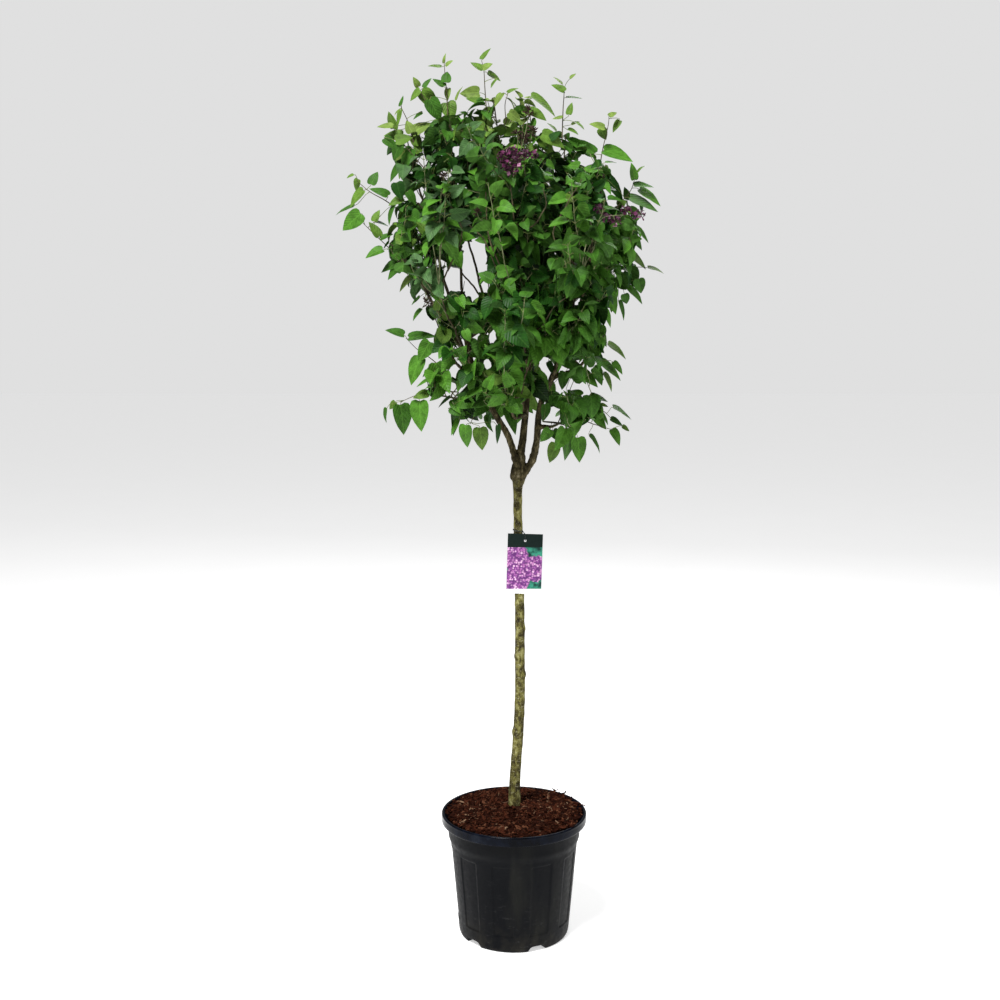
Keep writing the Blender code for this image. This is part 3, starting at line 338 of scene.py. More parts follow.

# Outer sprays: depth in millimetres, then places in the photo, in its pixels: the twig's points, and the
# leaves, from stalk to tip, with their width. Most were read in the photo. Given one by one were the last
# four leaves of right_spire, the last eight of right_lower, the twig of top_middle_right, and all of
# left_shoulder, left_upper, left_crest_foot, top_front and top_front_right
SPRAYS = {
    "far_left_upper": (
        0, ((404, 214), (386, 201), (370, 192), (356, 180)),
        ((354, 175, 348, 178, 3), (358, 179, 354, 190, 7), (364, 191, 350, 204, 9), (371, 184, 376, 171, 9),
         (388, 196, 372, 186, 8), (353, 206, 335, 210, 5))),
    "far_left": (
        -20, ((430, 293), (410, 270), (390, 249), (372, 232), (363, 223)),
        ((361, 214, 344, 229, 15), (374, 221, 378, 210, 7), (379, 237, 371, 223, 8), (376, 222, 387, 224, 3),
         (381, 239, 392, 234, 5), (395, 205, 387, 222, 5), (383, 250, 367, 255, 8), (400, 262, 381, 268, 9),
         (400, 266, 387, 277, 8), (410, 278, 398, 289, 6), (420, 297, 412, 304, 3), (421, 309, 412, 318, 4))),
    "left_crest": (
        30, ((417, 160), (413, 140), (408, 122), (402, 109), (401, 104)),
        ((401, 106, 402, 96, 4), (401, 108, 394, 113, 2), (401, 111, 398, 125, 5), (393, 128, 390, 111, 8),
         (393, 127, 379, 127, 6), (402, 135, 385, 134, 10), (402, 149, 396, 160, 9), (400, 165, 388, 178, 8),
         (404, 168, 399, 178, 5), (411, 133, 431, 119, 12), (412, 133, 407, 122, 9), (422, 112, 413, 117, 4),
         (441, 123, 427, 137, 12), (413, 135, 421, 150, 10))),
    "left_spire": (
        -5, ((448, 122), (447, 100), (446, 85), (445, 75), (444, 60)),
        ((446, 83, 447, 71, 9), (441, 66, 429, 65, 4), (446, 66, 452, 62, 4), (444, 62, 444, 53, 3),
         (444, 87, 434, 79, 6), (448, 88, 447, 99, 6), (430, 100, 440, 119, 14), (447, 102, 452, 118, 15),
         (457, 100, 460, 87, 3))),
    "left_spire_side": (
        20, ((436, 112), (424, 98), (420, 91), (417, 85)),
        ((424, 88, 430, 79, 5), (418, 86, 414, 78, 6), (420, 91, 410, 99, 7), (421, 91, 438, 109, 14))),
    "top_spire": (
        0, ((487, 118), (485, 90), (484, 72), (482, 62)),
        ((482, 60, 489, 49, 5), (483, 69, 472, 60, 7), (483, 69, 491, 65, 6), (488, 72, 500, 78, 6),
         (497, 80, 491, 88, 3), (479, 92, 462, 93, 12), (482, 104, 468, 98, 7))),
    "top_middle": (
        -10, ((506, 122), (505, 105), (508, 93)),
        ((502, 94, 494, 105, 6), (508, 92, 517, 86, 4))),
    "top_middle_right": (
        10, ((531, 125), (529, 108), (526, 99)),
        ((521, 98, 516, 90, 4), (516, 106, 513, 99, 2), (522, 107, 521, 98, 4), (533, 97, 525, 96, 3),
         (531, 97, 555, 112, 9))),
    "right_spire": (
        0, ((562, 140), (563, 110), (564, 96), (564, 86)),
        ((564, 92, 553, 84, 7), (562, 83, 555, 76, 3), (570, 79, 575, 75, 3), (567, 97, 581, 97, 3),
         (562, 118, 553, 118, 4), (556, 130, 549, 122, 3), (569, 115, 571, 104, 6), (572, 124, 579, 121, 3),
         (575, 123, 584, 128, 3), (568, 129, 578, 132, 4))),
    "right_crest": (
        20, ((600, 165), (603, 148), (608, 126), (609, 115)),
        ((609, 117, 616, 112, 5), (620, 120, 613, 130, 6), (604, 128, 591, 124, 7), (601, 128, 606, 138, 9),
         (594, 154, 571, 139, 13), (604, 150, 630, 159, 13), (606, 163, 616, 161, 3))),
    "right_upper": (
        60, ((614, 212), (623, 200), (631, 190), (634, 181)),
        ((634, 180, 632, 165, 8), (638, 172, 643, 165, 2), (634, 186, 652, 185, 6), (640, 189, 660, 202, 9),
         (630, 198, 656, 208, 10), (602, 176, 625, 198, 13))),
    "right_side": (
        120, ((612, 240), (625, 236), (632, 230)),
        ((633, 227, 648, 240, 6), (630, 233, 643, 247, 9))),
    "right_far": (
        130, ((612, 272), (628, 268), (640, 267), (648, 268)),
        ((648, 268, 663, 270, 4), (628, 251, 645, 266, 8))),
    "right_hanging": (
        40, ((606, 284), (620, 284), (634, 280)),
        ((638, 279, 641, 292, 11), (627, 287, 642, 301, 7), (624, 294, 627, 304, 8), (619, 301, 625, 318, 5),
         (606, 292, 616, 311, 12))),
    "right_waist": (
        0, ((590, 318), (600, 322), (604, 336)),
        ((602, 307, 612, 324, 7), (600, 331, 608, 345, 7), (608, 344, 626, 355, 6))),
    "right_lower": (
        -20, ((576, 360), (590, 358), (600, 362)),
        ((600, 362, 621, 376, 8), (604, 373, 614, 388, 5), (580, 372, 598, 384, 10), (563, 360, 579, 368, 11),
         (565, 372, 561, 388, 10), (548, 362, 553, 373, 6), (593, 368, 604, 383, 10), (592, 350, 603, 358, 7),
         (613, 362, 622, 372, 6), (552, 395, 563, 409, 12), (566, 397, 569, 411, 9))),
    "right_low_outer": (
        20, ((570, 408), (590, 404), (602, 410), (612, 419)),
        ((591, 395, 606, 400, 5), (601, 405, 608, 406, 3), (613, 407, 631, 416, 4), (611, 419, 622, 425, 5),
         (598, 411, 608, 422, 4))),
    "right_foot": (
        0, ((572, 412), (588, 422), (600, 426), (613, 430)),
        ((622, 426, 629, 430, 4), (612, 430, 621, 443, 8), (589, 436, 602, 449, 4), (595, 416, 606, 428, 9))),
    "right_foot_front": (
        -70, ((545, 422), (560, 424), (572, 428)),
        ((568, 428, 569, 458, 13), (578, 438, 580, 460, 14), (550, 429, 541, 441, 10),
         (553, 431, 562, 441, 9),
         (556, 444, 549, 461, 11), (572, 411, 562, 425, 14), (545, 404, 545, 421, 9))),
    "left_waist": (
        0, ((440, 366), (430, 358), (418, 350), (406, 338)),
        ((404, 335, 388, 330, 7), (409, 338, 433, 333, 8), (430, 342, 420, 359, 14),
         (420, 358, 409, 381, 14))),
    "left_lower": (
        -60, ((456, 384), (444, 372), (437, 364)),
        ((436, 363, 440, 388, 16), (428, 380, 417, 386, 3))),
    "left_foot": (
        -30, ((458, 392), (438, 391), (420, 394), (400, 402)),
        ((428, 393, 415, 396, 8), (395, 402, 389, 409, 6), (387, 408, 384, 421, 4), (400, 405, 404, 432, 16),
         (420, 401, 420, 428, 17))),
    "left_foot_inner": (
        -60, ((474, 400), (462, 404), (456, 405)),
        ((450, 397, 438, 405, 3), (455, 404, 457, 433, 9), (459, 420, 451, 433, 5))),
    "left_foot_front": (
        -110, ((480, 404), (474, 416), (470, 424)),
        ((466, 425, 465, 446, 12), (480, 428, 482, 449, 14), (497, 425, 498, 442, 5))),
    "left_shoulder": (
        -40, ((440, 261), (422, 243), (408, 227)),
        ((416, 224, 397, 233, 10), (408, 229, 403, 250, 12), (414, 239, 401, 254, 10),
         (422, 247, 411, 263, 11),
         (428, 234, 416, 219, 10))),
    "left_upper": (
        -20, ((429, 215), (414, 200), (400, 191)),
        ((397, 183, 401, 198, 12), (403, 198, 389, 203, 8), (408, 192, 416, 204, 8),
         (411, 205, 398, 217, 10))),
    "left_crest_foot": (
        10, ((424, 168), (411, 153), (401, 141)),
        ((396, 141, 411, 138, 10), (384, 138, 396, 147, 9), (400, 145, 394, 159, 10),
         (412, 148, 401, 168, 12))),
    "top_front": (
        -30, ((521, 148), (523, 127), (526, 116)),
        ((509, 113, 520, 121, 9), (531, 111, 546, 117, 9), (524, 115, 533, 106, 7),
         (518, 127, 506, 134, 11))),
    "top_front_right": (
        -20, ((536, 168), (545, 152), (550, 141)),
        ((542, 135, 564, 144, 13), (539, 135, 553, 153, 12), (550, 140, 559, 132, 7),
         (534, 145, 526, 157, 11))),
    "fork": (
        -50, ((512, 384), (508, 398), (506, 406)),
        ((506, 408, 516, 431, 10), (524, 384, 519, 403, 16))),
}


def unit(vector):
    return vector / np.linalg.norm(vector)


def smoothstep(value, low, high):
    share = np.clip((value - low) / (high - low), 0, 1)
    return share * share * (3 - 2 * share)


def line_length(line):
    return sum(np.linalg.norm(b - a) for a, b in zip(line, line[1:]))


def stray(luck, spread):
    """A random step in all three directions."""
    return np.array([luck.gauss(0, spread) for _ in range(3)])


def pick(luck, shares):
    """One of the finishes, as often as its share says."""
    return luck.choices(range(len(shares)), shares)[0]


def new_object(name, points, faces, materials, face_finish=None, smooth_deg=50):
    """One shown piece from points and faces."""
    mesh = bpy.data.meshes.new(name)
    mesh.from_pydata(np.asarray(points, float).tolist(), [], faces)
    for made in materials:
        mesh.materials.append(made)
    if face_finish is not None:
        mesh.polygons.foreach_set("material_index", np.asarray(face_finish, np.int32))
    mesh.update()
    obj = bpy.data.objects.new(name, mesh)
    bpy.context.scene.collection.objects.link(obj)
    if smooth_deg:
        mesh.shade_smooth()
        mesh.set_sharp_from_angle(angle=math.radians(smooth_deg))
    return obj


class Finish:
    """A material in the making: its nodes, its shader, and short ways to add to them."""

    def __init__(self, name, roughness=0.5, **constants):
        self.made = bpy.data.materials.new(name)
        self.made.use_nodes = True
        self.tree = self.made.node_tree
        self.shader = self.tree.nodes["Principled BSDF"]
        self.shader.inputs["Roughness"].default_value = roughness
        for socket, value in constants.items():
            self.shader.inputs[socket.replace("_", " ")].default_value = value
        self.place = self.node("ShaderNodeTexCoord").outputs["Object"]

    def node(self, kind, **settings):
        made = self.tree.nodes.new(kind)
        for key, value in settings.items():
            setattr(made, key, value)
        return made

    def link(self, start, end):
        self.tree.links.new(start, end)

    def stretched(self, scale, place=None):
        mapping = self.node("ShaderNodeMapping")
        mapping.inputs["Scale"].default_value = scale
        self.link(place or self.place, mapping.inputs["Vector"])
        return mapping.outputs["Vector"]

    def noise(self, scale, detail=4.0, roughness=0.55, place=None):
        made = self.node("ShaderNodeTexNoise")
        made.inputs["Scale"].default_value = scale
        made.inputs["Detail"].default_value = detail
        made.inputs["Roughness"].default_value = roughness
        self.link(place or self.place, made.inputs["Vector"])
        return made.outputs["Fac"]

    def cells(self, scale, place=None, feature="F1", output="Distance"):
        made = self.node("ShaderNodeTexVoronoi", feature=feature)
        made.inputs["Scale"].default_value = scale
        self.link(place or self.place, made.inputs["Vector"])
        return made.outputs[output]

    def ramp(self, value, *stops):
        made = self.node("ShaderNodeValToRGB")
        ramp = made.color_ramp
        while len(ramp.elements) < len(stops):
            ramp.elements.new(0.5)
        for element, (at, colour) in zip(ramp.elements, stops):
            element.position = at
            element.color = (*colour, 1.0) if len(colour) == 3 else colour
        self.link(value, made.inputs["Fac"])
        return made.outputs["Color"]

    def grey(self, value, *stops):
        return self.ramp(value, *((at, (level,) * 3) for at, level in stops))

    def mix(self, share, first, second, blend="MIX"):
        made = self.node("ShaderNodeMix", data_type="RGBA", blend_type=blend)
        for socket, given in ((0, share), (6, first), (7, second)):
            if isinstance(given, (int, float)):
                made.inputs[socket].default_value = given
            elif isinstance(given, tuple):
                made.inputs[socket].default_value = (*given, 1.0)
            else:
                self.link(given, made.inputs[socket])
        return made.outputs[2]

    def maths(self, operation, first, second=0.0):
        made = self.node("ShaderNodeMath", operation=operation)
        for socket, given in enumerate((first, second)):
            if isinstance(given, (int, float)):
                made.inputs[socket].default_value = given
            else:
                self.link(given, made.inputs[socket])
        return made.outputs[0]

    def height(self):
        split = self.node("ShaderNodeSeparateXYZ")
        self.link(self.place, split.inputs[0])
        return split.outputs["Z"]

    def colour(self, output):
        self.link(output, self.shader.inputs["Base Color"])

    def rough(self, output):
        self.link(output, self.shader.inputs["Roughness"])

    def bump(self, output, depth, strength=1.0):
        made = self.node("ShaderNodeBump")
        made.inputs["Strength"].default_value = strength
        made.inputs["Distance"].default_value = depth
        self.link(output, made.inputs["Height"])
        self.link(made.outputs["Normal"], self.shader.inputs["Normal"])


RIM_SHINE = ((0.2365, 0.0), (0.2375, 1.0))  # between these heights the wall's finish gives way to the rim's
GRAFT_COLOUR = ((0.955, 0.0), (0.975, 1.0))  # and the stem's colour to the boughs', darker partly in their bark's own colour and partly as painted shade under the leaves


def pot_plastic():
    finish = Finish("pot_plastic", Specular_IOR_Level=0.06)
    grime = finish.noise(9.0, 5.0)
    base = finish.ramp(grime, (0.30, (0.0022, 0.0026, 0.0036)), (0.62, (0.0036, 0.0040, 0.0050)),
                       (0.85, (0.0070, 0.0070, 0.0066)))
    streaks = finish.noise(26.0, 4.0, place=finish.stretched((1.0, 1.0, 0.16)))
    dusty = finish.mix(finish.grey(streaks, (0.50, 0.0), (0.78, 0.5)), base, (0.018, 0.018, 0.014))
    foot = finish.grey(finish.height(), (0.0, 0.40), (0.070, 0.0))
    foot = finish.maths("MULTIPLY", foot, finish.grey(finish.noise(34.0, 5.0), (0.42, 0.0), (0.68, 1.0)))
    worn = finish.mix(foot, dusty, (0.040, 0.036, 0.026))
    scuffs = finish.noise(48.0, 6.0, 0.7, place=finish.stretched((1.0, 1.0, 2.6)))
    scuffs = finish.maths("MULTIPLY", finish.grey(scuffs, (0.58, 0.0), (0.70, 0.6)),
                          finish.grey(finish.height(), (0.02, 1.0), (0.13, 0.15)))
    worn = finish.mix(scuffs, worn, (0.042, 0.043, 0.043))
    rim = finish.grey(finish.height(), *RIM_SHINE)
    patches = finish.noise(30.0, 5.0, 0.65)
    edge = finish.ramp(patches, (0.36, (0.0004, 0.0008, 0.0020)), (0.56, (0.0022, 0.0036, 0.0085)),
                       (0.70, (0.0090, 0.0120, 0.0190)))
    finish.colour(finish.mix(finish.maths("MULTIPLY", rim, 0.9), worn, edge))
    polish = finish.grey(patches, (0.40, 0.26), (0.66, 0.09))
    finish.rough(finish.mix(rim, finish.grey(finish.noise(120.0, 3.0), (0.3, 0.40), (0.7, 0.58)), polish))
    finish.bump(finish.noise(900.0, 2.0), 0.0001, 0.5)
    return finish.made


def bark_finish():
    finish = Finish("bark", 0.85, Specular_IOR_Level=0.15)
    mottle = finish.noise(95.0, 6.0, 0.7, finish.stretched((1.0, 1.0, 0.55)))
    stem = finish.ramp(mottle, (0.39, (0.016, 0.012, 0.003)), (0.48, (0.066, 0.056, 0.014)),
                       (0.56, (0.158, 0.148, 0.040)), (0.68, (0.320, 0.300, 0.135)))
    bands = finish.noise(150.0, 4.0, 0.6, finish.stretched((1.0, 1.0, 2.4)))
    stem = finish.mix(finish.grey(bands, (0.58, 0.0), (0.68, 0.55)), stem, (0.390, 0.370, 0.240))
    spots = finish.cells(330.0, finish.stretched((1.0, 1.0, 1.5)))
    stem = finish.mix(finish.grey(spots, (0.11, 0.6), (0.22, 0.0)), stem, (0.400, 0.380, 0.260))
    # The boughs' bark: its own browner colour, darkened further as painted shade under the crown
    wood = finish.ramp(finish.noise(105.0, 6.0, 0.72, finish.stretched((1.0, 1.0, 0.45))),
                       (0.34, (0.006, 0.004, 0.002)), (0.47, (0.030, 0.024, 0.009)),
                       (0.58, (0.085, 0.069, 0.031)), (0.72, (0.260, 0.226, 0.150)))
    uneven = finish.maths("ADD", finish.height(), finish.maths("MULTIPLY", finish.noise(60.0, 4.0), 0.05))
    finish.colour(finish.mix(finish.grey(uneven, *GRAFT_COLOUR), stem, wood))
    cracks = finish.noise(260.0, 6.0, 0.7, finish.stretched((1.0, 1.0, 0.22)))
    finish.bump(cracks, 0.0016, 0.9)
    return finish.made


def twig_finish(name, dark, pale):
    finish = Finish(name, 0.7, Specular_IOR_Level=0.2)
    tone = finish.noise(140.0, 4.0)
    finish.colour(finish.ramp(tone, (0.35, dark), (0.68, pale)))
    finish.bump(finish.noise(700.0, 3.0), 0.0003, 0.6)
    return finish.made


def leaf_finish(name, tone, underside=False):
    """A leaf's face: paler midrib and side veins, blotches, and a slight quilting between the veins."""
    finish = Finish(name, Specular_IOR_Level=0.05 if underside else 0.11)
    tone = np.array(tone)
    uv = finish.node("ShaderNodeUVMap", uv_map="blade")
    split = finish.node("ShaderNodeSeparateXYZ")
    finish.link(uv.outputs["UV"], split.inputs[0])
    across = finish.maths("ABSOLUTE", finish.maths("SUBTRACT", split.outputs["X"], 0.5))
    swept = finish.maths("SUBTRACT", split.outputs["Y"], finish.maths("MULTIPLY", across, 1.1))
    saw = finish.maths("PINGPONG", finish.maths("MULTIPLY", swept, 7.0), 0.5)
    side_vein = finish.grey(saw, (0.0, 1.0), (0.11, 0.0))
    midrib = finish.grey(across, (0.012, 1.0), (0.034, 0.0))
    veins = finish.maths("MAXIMUM", midrib, finish.maths("MULTIPLY", side_vein, 0.6))
    blotch = finish.noise(75.0, 4.0, 0.65)
    body = finish.ramp(blotch, (0.30, tuple(tone * 0.55)), (0.50, tuple(tone)), (0.70, tuple(tone * 1.50)))
    fine = finish.noise(420.0, 2.0)
    body = finish.mix(finish.grey(fine, (0.45, 0.0), (0.75, 0.22)), body, tuple(tone * 1.6))
    pale = tuple(tone * 1.45 + np.array((0.016, 0.024, 0.007)))
    finish.colour(finish.mix(finish.maths("MULTIPLY", veins, 0.62), body, pale))
    dull, duller = (0.66, 0.80) if underside else (0.40, 0.54)
    finish.rough(finish.grey(blotch, (0.3, dull), (0.7, duller)))
    finish.bump(saw, 0.0012, 0.7)
    return finish.made


def chip_finish(name, dark, pale):
    finish = Finish(name, 0.92, Specular_IOR_Level=0.03)
    tone = finish.noise(300.0, 4.0, 0.6)
    finish.colour(finish.ramp(tone, (0.32, dark), (0.70, pale)))
    finish.bump(finish.noise(1400.0, 3.0), 0.0004, 0.8)
    return finish.made


def petal_finish(name, dark, pale):
    finish = Finish(name, 0.6, Specular_IOR_Level=0.2)
    tone = finish.noise(260.0, 3.0)
    finish.colour(finish.ramp(tone, (0.32, dark), (0.72, pale)))
    return finish.made


LABEL_HEADS = ((0.24, 1.02), (0.80, 0.72), (0.26, 0.38))  # middles, across and up in the card's widths
LABEL_HEIGHT = 1.7  # in widths
LABEL_HEAD_RADIUS = (0.47, 0.50)
LABEL_FOOT = (0.085, 0.087)  # of the card's height
LABEL_BAND = (0.770, 0.773)
LABEL_GROUND = ((0.38, (0.008, 0.035, 0.030)), (0.62, (0.040, 0.260, 0.170)))
LABEL_PETALS = ((0.20, (0.190, 0.050, 0.230)), (0.50, (0.420, 0.140, 0.380)), (0.84, (0.740, 0.460, 0.660)))


def label_finish(low, high):
    """The label's face: three round heads of small blossoms on green, a dark head band and a pale foot."""
    finish = Finish("label_print", Specular_IOR_Level=0.12)
    whole = finish.node("ShaderNodeMapping")
    scale = (1 / (high.x - low.x), 1.0, 1 / (high.z - low.z))
    whole.inputs["Scale"].default_value = scale
    whole.inputs["Location"].default_value = (-low.x * scale[0], 0.0, -low.z * scale[2])
    finish.link(finish.place, whole.inputs["Vector"])
    turned = finish.node("ShaderNodeSeparateXYZ")
    finish.link(whole.outputs["Vector"], turned.inputs[0])
    card = finish.node("ShaderNodeCombineXYZ")
    finish.link(turned.outputs["X"], card.inputs["X"])
    finish.link(turned.outputs["Z"], card.inputs["Y"])
    uv = card.outputs["Vector"]
    split = finish.node("ShaderNodeSeparateXYZ")
    finish.link(uv, split.inputs[0])
    tall = finish.stretched((1.0, LABEL_HEIGHT, 1.0), uv)
    ground = finish.ramp(finish.noise(5.0, 3.0, place=tall), *LABEL_GROUND)
    petals = finish.cells(19.0, tall)
    hue = finish.ramp(finish.cells(19.0, tall, output="Color"), *LABEL_PETALS)
    flower = finish.mix(finish.grey(petals, (0.30, 1.0), (0.75, 0.0)), (0.110, 0.030, 0.140), hue)
    ragged = finish.maths("MULTIPLY", finish.noise(9.0, 3.0, place=tall), 0.22)
    nearest = None
    for centre in LABEL_HEADS:
        away = finish.node("ShaderNodeVectorMath", operation="DISTANCE")
        finish.link(tall, away.inputs[0])
        away.inputs[1].default_value = (*centre, 0.0)
        gap = away.outputs["Value"]
        nearest = gap if nearest is None else finish.maths("MINIMUM", nearest, gap)
    edge = finish.maths("ADD", nearest, ragged)

    def band(value, ends, levels):
        return finish.grey(value, *zip(ends, levels))

    field = finish.mix(band(edge, LABEL_HEAD_RADIUS, (1.0, 0.0)), ground, flower)
    foot = finish.mix(band(split.outputs["Y"], LABEL_FOOT, (1.0, 0.0)), field, (0.80, 0.80, 0.79))
    finish.colour(finish.mix(band(split.outputs["Y"], LABEL_BAND, (0.0, 1.0)), foot, (0.004, 0.011, 0.009)))
    finish.rough(finish.grey(finish.noise(60.0, 2.0), (0.3, 0.42), (0.7, 0.55)))
    return finish.made


def plain_finish(name, colour, roughness, spread=0.25, grain=200.0):
    finish = Finish(name, roughness)
    colour = np.array(colour)
    low, high = tuple(colour * (1 - spread)), tuple(colour * (1 + spread))
    finish.colour(finish.ramp(finish.noise(grain, 3.0), (0.35, low), (0.65, high)))
    finish.bump(finish.noise(grain * 4, 2.0), 0.0001, 0.4)
    return finish.made


# Lines and tubes


def frames_along(points, first_tangent=None):
    tangents = [unit(b - a) for a, b in zip(points, points[1:])]
    middles = [unit(a + b) for a, b in zip(tangents, tangents[1:])]
    tangents = [tangents[0], *middles, tangents[-1]]
    if first_tangent is not None:
        tangents[0] = first_tangent
    across = np.array((1.0, 0.0, 0.0)) if abs(tangents[0][0]) < 0.8 else np.array((0.0, 1.0, 0.0))
    found = []
    for tangent in tangents:
        across = unit(across - tangent * (across @ tangent))
        found.append((tangent, across, np.cross(tangent, across)))
    return found


def ring_faces(rings, sides):
    """The faces between rings of points that follow each other."""
    faces = []
    for ring in range(rings - 1):
        low, high = ring * sides, (ring + 1) * sides
        faces += [(low + k, low + (k + 1) % sides, high + (k + 1) % sides, high + k) for k in range(sides)]
    return faces


def skin_faces(rings, sides):
    """The same with a face over each end."""
    last = (rings - 1) * sides
    return [tuple(range(sides))[::-1], *ring_faces(rings, sides), tuple(range(last, last + sides))]


def tube(points, radii, sides, first_tangent=None, swell=None):
    turns = math.tau * np.arange(sides) / sides
    made = []
    for point, radius, (_, across, other) in zip(points, radii, frames_along(points, first_tangent)):
        out = across * np.cos(turns)[:, None] + other * np.sin(turns)[:, None]
        grown = radius * (swell(point, turns) if swell else np.ones(sides))
        made.append(point + out * grown[:, None])
    return np.concatenate(made), skin_faces(len(points), sides)


def spline(knots, steps):
    knots = [np.array(k, float) for k in knots]
    ends = [2 * knots[0] - knots[1], *knots, 2 * knots[-1] - knots[-2]]
    made = []
    for a, b, c, d in zip(ends, ends[1:], ends[2:], ends[3:]):
        for t in np.arange(steps) / steps:
            made.append(0.5 * (2 * b + (c - a) * t + (2 * a - 5 * b + 4 * c - d) * t**2
                               + (3 * b - a - 3 * c + d) * t**3))
    return [*made, knots[-1]]


def bend(start, leaving, end, arriving, steps):
    pull = np.linalg.norm(end - start)
    made = []
    for t in np.linspace(0, 1, steps):
        made.append((2 * t**3 - 3 * t**2 + 1) * start + (t**3 - 2 * t**2 + t) * leaving * pull
                    + (3 * t**2 - 2 * t**3) * end + (t**3 - t**2) * arriving * pull)
    return made


def along(points, share):
    lengths = [np.linalg.norm(b - a) for a, b in zip(points, points[1:])]
    left = share * sum(lengths)
    for a, b, length in zip(points, points[1:], lengths):
        if left <= length:
            return a + (b - a) * left / length, unit(b - a)
        left -= length
    return points[-1], unit(points[-1] - points[-2])


class Body:
    """Many closed bodies gathered into one mesh."""

    def __init__(self):
        self.points, self.faces, self.finish = [], [], []
        self.count = 0

    def add(self, points, faces, finish=0):
        """Adds a body with one finish, or with a list of one for each face."""
        self.points.append(np.asarray(points, float))
        self.faces += [tuple(self.count + i for i in face) for face in faces]
        self.finish += finish if isinstance(finish, list) else [finish] * len(faces)
        self.count += len(points)

    def shown(self, name, materials, smooth_deg=50):
        return new_object(name, np.concatenate(self.points), self.faces, materials, self.finish, smooth_deg)


# Pot, soil and mulch


def wall_radius(height):
    share = (height - FLOOR) / (COLLAR_FOOT - FLOOR)
    return WALL_FOOT_RADIUS + (WALL_TOP_RADIUS - WALL_FOOT_RADIUS) * share


def panel_share(turns):
    """How sunk the wall is at each bearing: 1 in the middle of a panel, 0 on a rib."""
    period = 360 / PANEL_COUNT
    offset = (np.degrees(turns) - PANEL_TURN_DEG + period / 2) % period - period / 2
    return 1 - smoothstep(np.abs(offset), PANEL_HALF_DEG - PANEL_SIDE_DEG, PANEL_HALF_DEG + PANEL_SIDE_DEG)


def notch_roof(turns):
    """How high the pot's foot is cut away at each bearing."""
    period = 360 / NOTCH_COUNT
    offset = (np.degrees(turns) - NOTCH_TURN_DEG + period / 2) % period - period / 2
    across = np.abs(np.radians(offset)) * WALL_FOOT_RADIUS / (NOTCH_WIDTH / 2)
    return NOTCH_HEIGHT * np.clip((1 - np.clip(across, 0, 1) ** NOTCH_SQUARE), 0, 1)


def arc(radius, height, size, first_deg, last_deg, steps):
    return [(radius + size * math.cos(math.radians(a)), height + size * math.sin(math.radians(a)))
            for a in np.linspace(first_deg, last_deg, steps)]


def pot_rings():
    """The pot's outline, from under its floor over the rim to the soil: radius, height and kind of ring."""
    rings = [(NOTCH_INNER, 0.0, "flat"), (NOTCH_INNER, 0.0, "roof")]
    rings += [(WALL_FOOT_RADIUS - inset, height, "roof") for inset, height in FOOT_ROUND]
    heads = [COLLAR_FOOT - drop for drop in PANEL_HEAD_DROPS]
    heights = [*PANEL_FOOT_RINGS, *np.linspace(*WALL_MIDDLE), *heads]
    rings += [(wall_radius(height), height, "wall") for height in heights]
    wall, collar = wall_radius(COLLAR_FOOT), COLLAR_RADIUS - TAPER_SHORT
    rings += [(wall + (collar - wall) * smoothstep(t, 0, 1), COLLAR_FOOT + TAPER_HEIGHT * t, "plain")
              for t in np.linspace(0, 1, TAPER_STEPS)]
    foot = POT_HEIGHT - RIM_BAND
    rings += [(COLLAR_RADIUS + out, foot - drop, "plain") for out, drop in RIM_FILLET]
    rings.append((RIM_RADIUS - RIM_EDGE, foot, "plain"))
    inset, rise, *bow = RIM_FOOT_ARC
    rings += [(*point, "plain") for point in arc(RIM_RADIUS - inset, foot + rise, *bow)]
    inset, rise, drop = RIM_FACE
    rings += [(RIM_RADIUS - inset, foot + rise, "plain"), (RIM_RADIUS - inset, POT_HEIGHT - drop, "plain")]
    inset, drop, *bow = RIM_TOP_ARC
    rings += [(*point, "plain") for point in arc(RIM_RADIUS - inset, POT_HEIGHT - drop, *bow)]
    rings += [(COLLAR_RADIUS - WALL + out, POT_HEIGHT - drop, "plain") for out, drop in INSIDE_RINGS]
    return rings


def make_pot():
    turns = math.tau * np.arange(POT_SIDES) / POT_SIDES
    roof, sunk = notch_roof(turns), panel_share(turns)
    rings = pot_rings()
    points = []
    for radius, height, kind in rings:
        r, z = np.full(POT_SIDES, radius), np.full(POT_SIDES, height)
        if kind == "roof":
            z = np.maximum(z, roof)
        if kind == "wall":
            deep = smoothstep(height, PANEL_FOOT, PANEL_FOOT + PANEL_STEP)
            arched = COLLAR_FOOT - PANEL_HEAD - PANEL_ARCH * (1 - sunk)
            deep = deep * (1 - smoothstep(height, arched - PANEL_STEP, arched))
            r = r - PANEL_DEPTH * sunk * deep
            lifted = roof + (height - FOOT_ROUND[-1][1]) * NOTCH_RING_RISE
            z = np.maximum(z, np.where(height < NOTCH_FADE, lifted, 0))
        points.append(np.stack((r * np.cos(turns), r * np.sin(turns), z), 1))
    points = np.concatenate(points)
    faces = skin_faces(len(rings), POT_SIDES)
    pot = new_object("nursery_pot", points, faces, [pot_plastic()], smooth_deg=38)
    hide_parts("pot")
    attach(pot, "root")


def soil_height(x, y):
    """The height of the mulch under a point, before its own small lumps."""
    share = np.clip(np.hypot(x, y - TRUNK_Y * 0.5) / SOIL_RADIUS, 0, 1)
    mound = SOIL_EDGE + (SEAT_HEIGHT - SOIL_EDGE) * np.cos(share * math.pi / 2) ** 0.7
    heaps = sum(height * np.exp(-(((x - at_x) / wide) ** 2 + ((y - at_y) / deep) ** 2))
                for at_x, at_y, wide, deep, height in SOIL_HEAPS)
    return mound + heaps


def lumps(x, y, z, scale):
    return noise.noise(Vector((x * scale, y * scale, z * scale)))


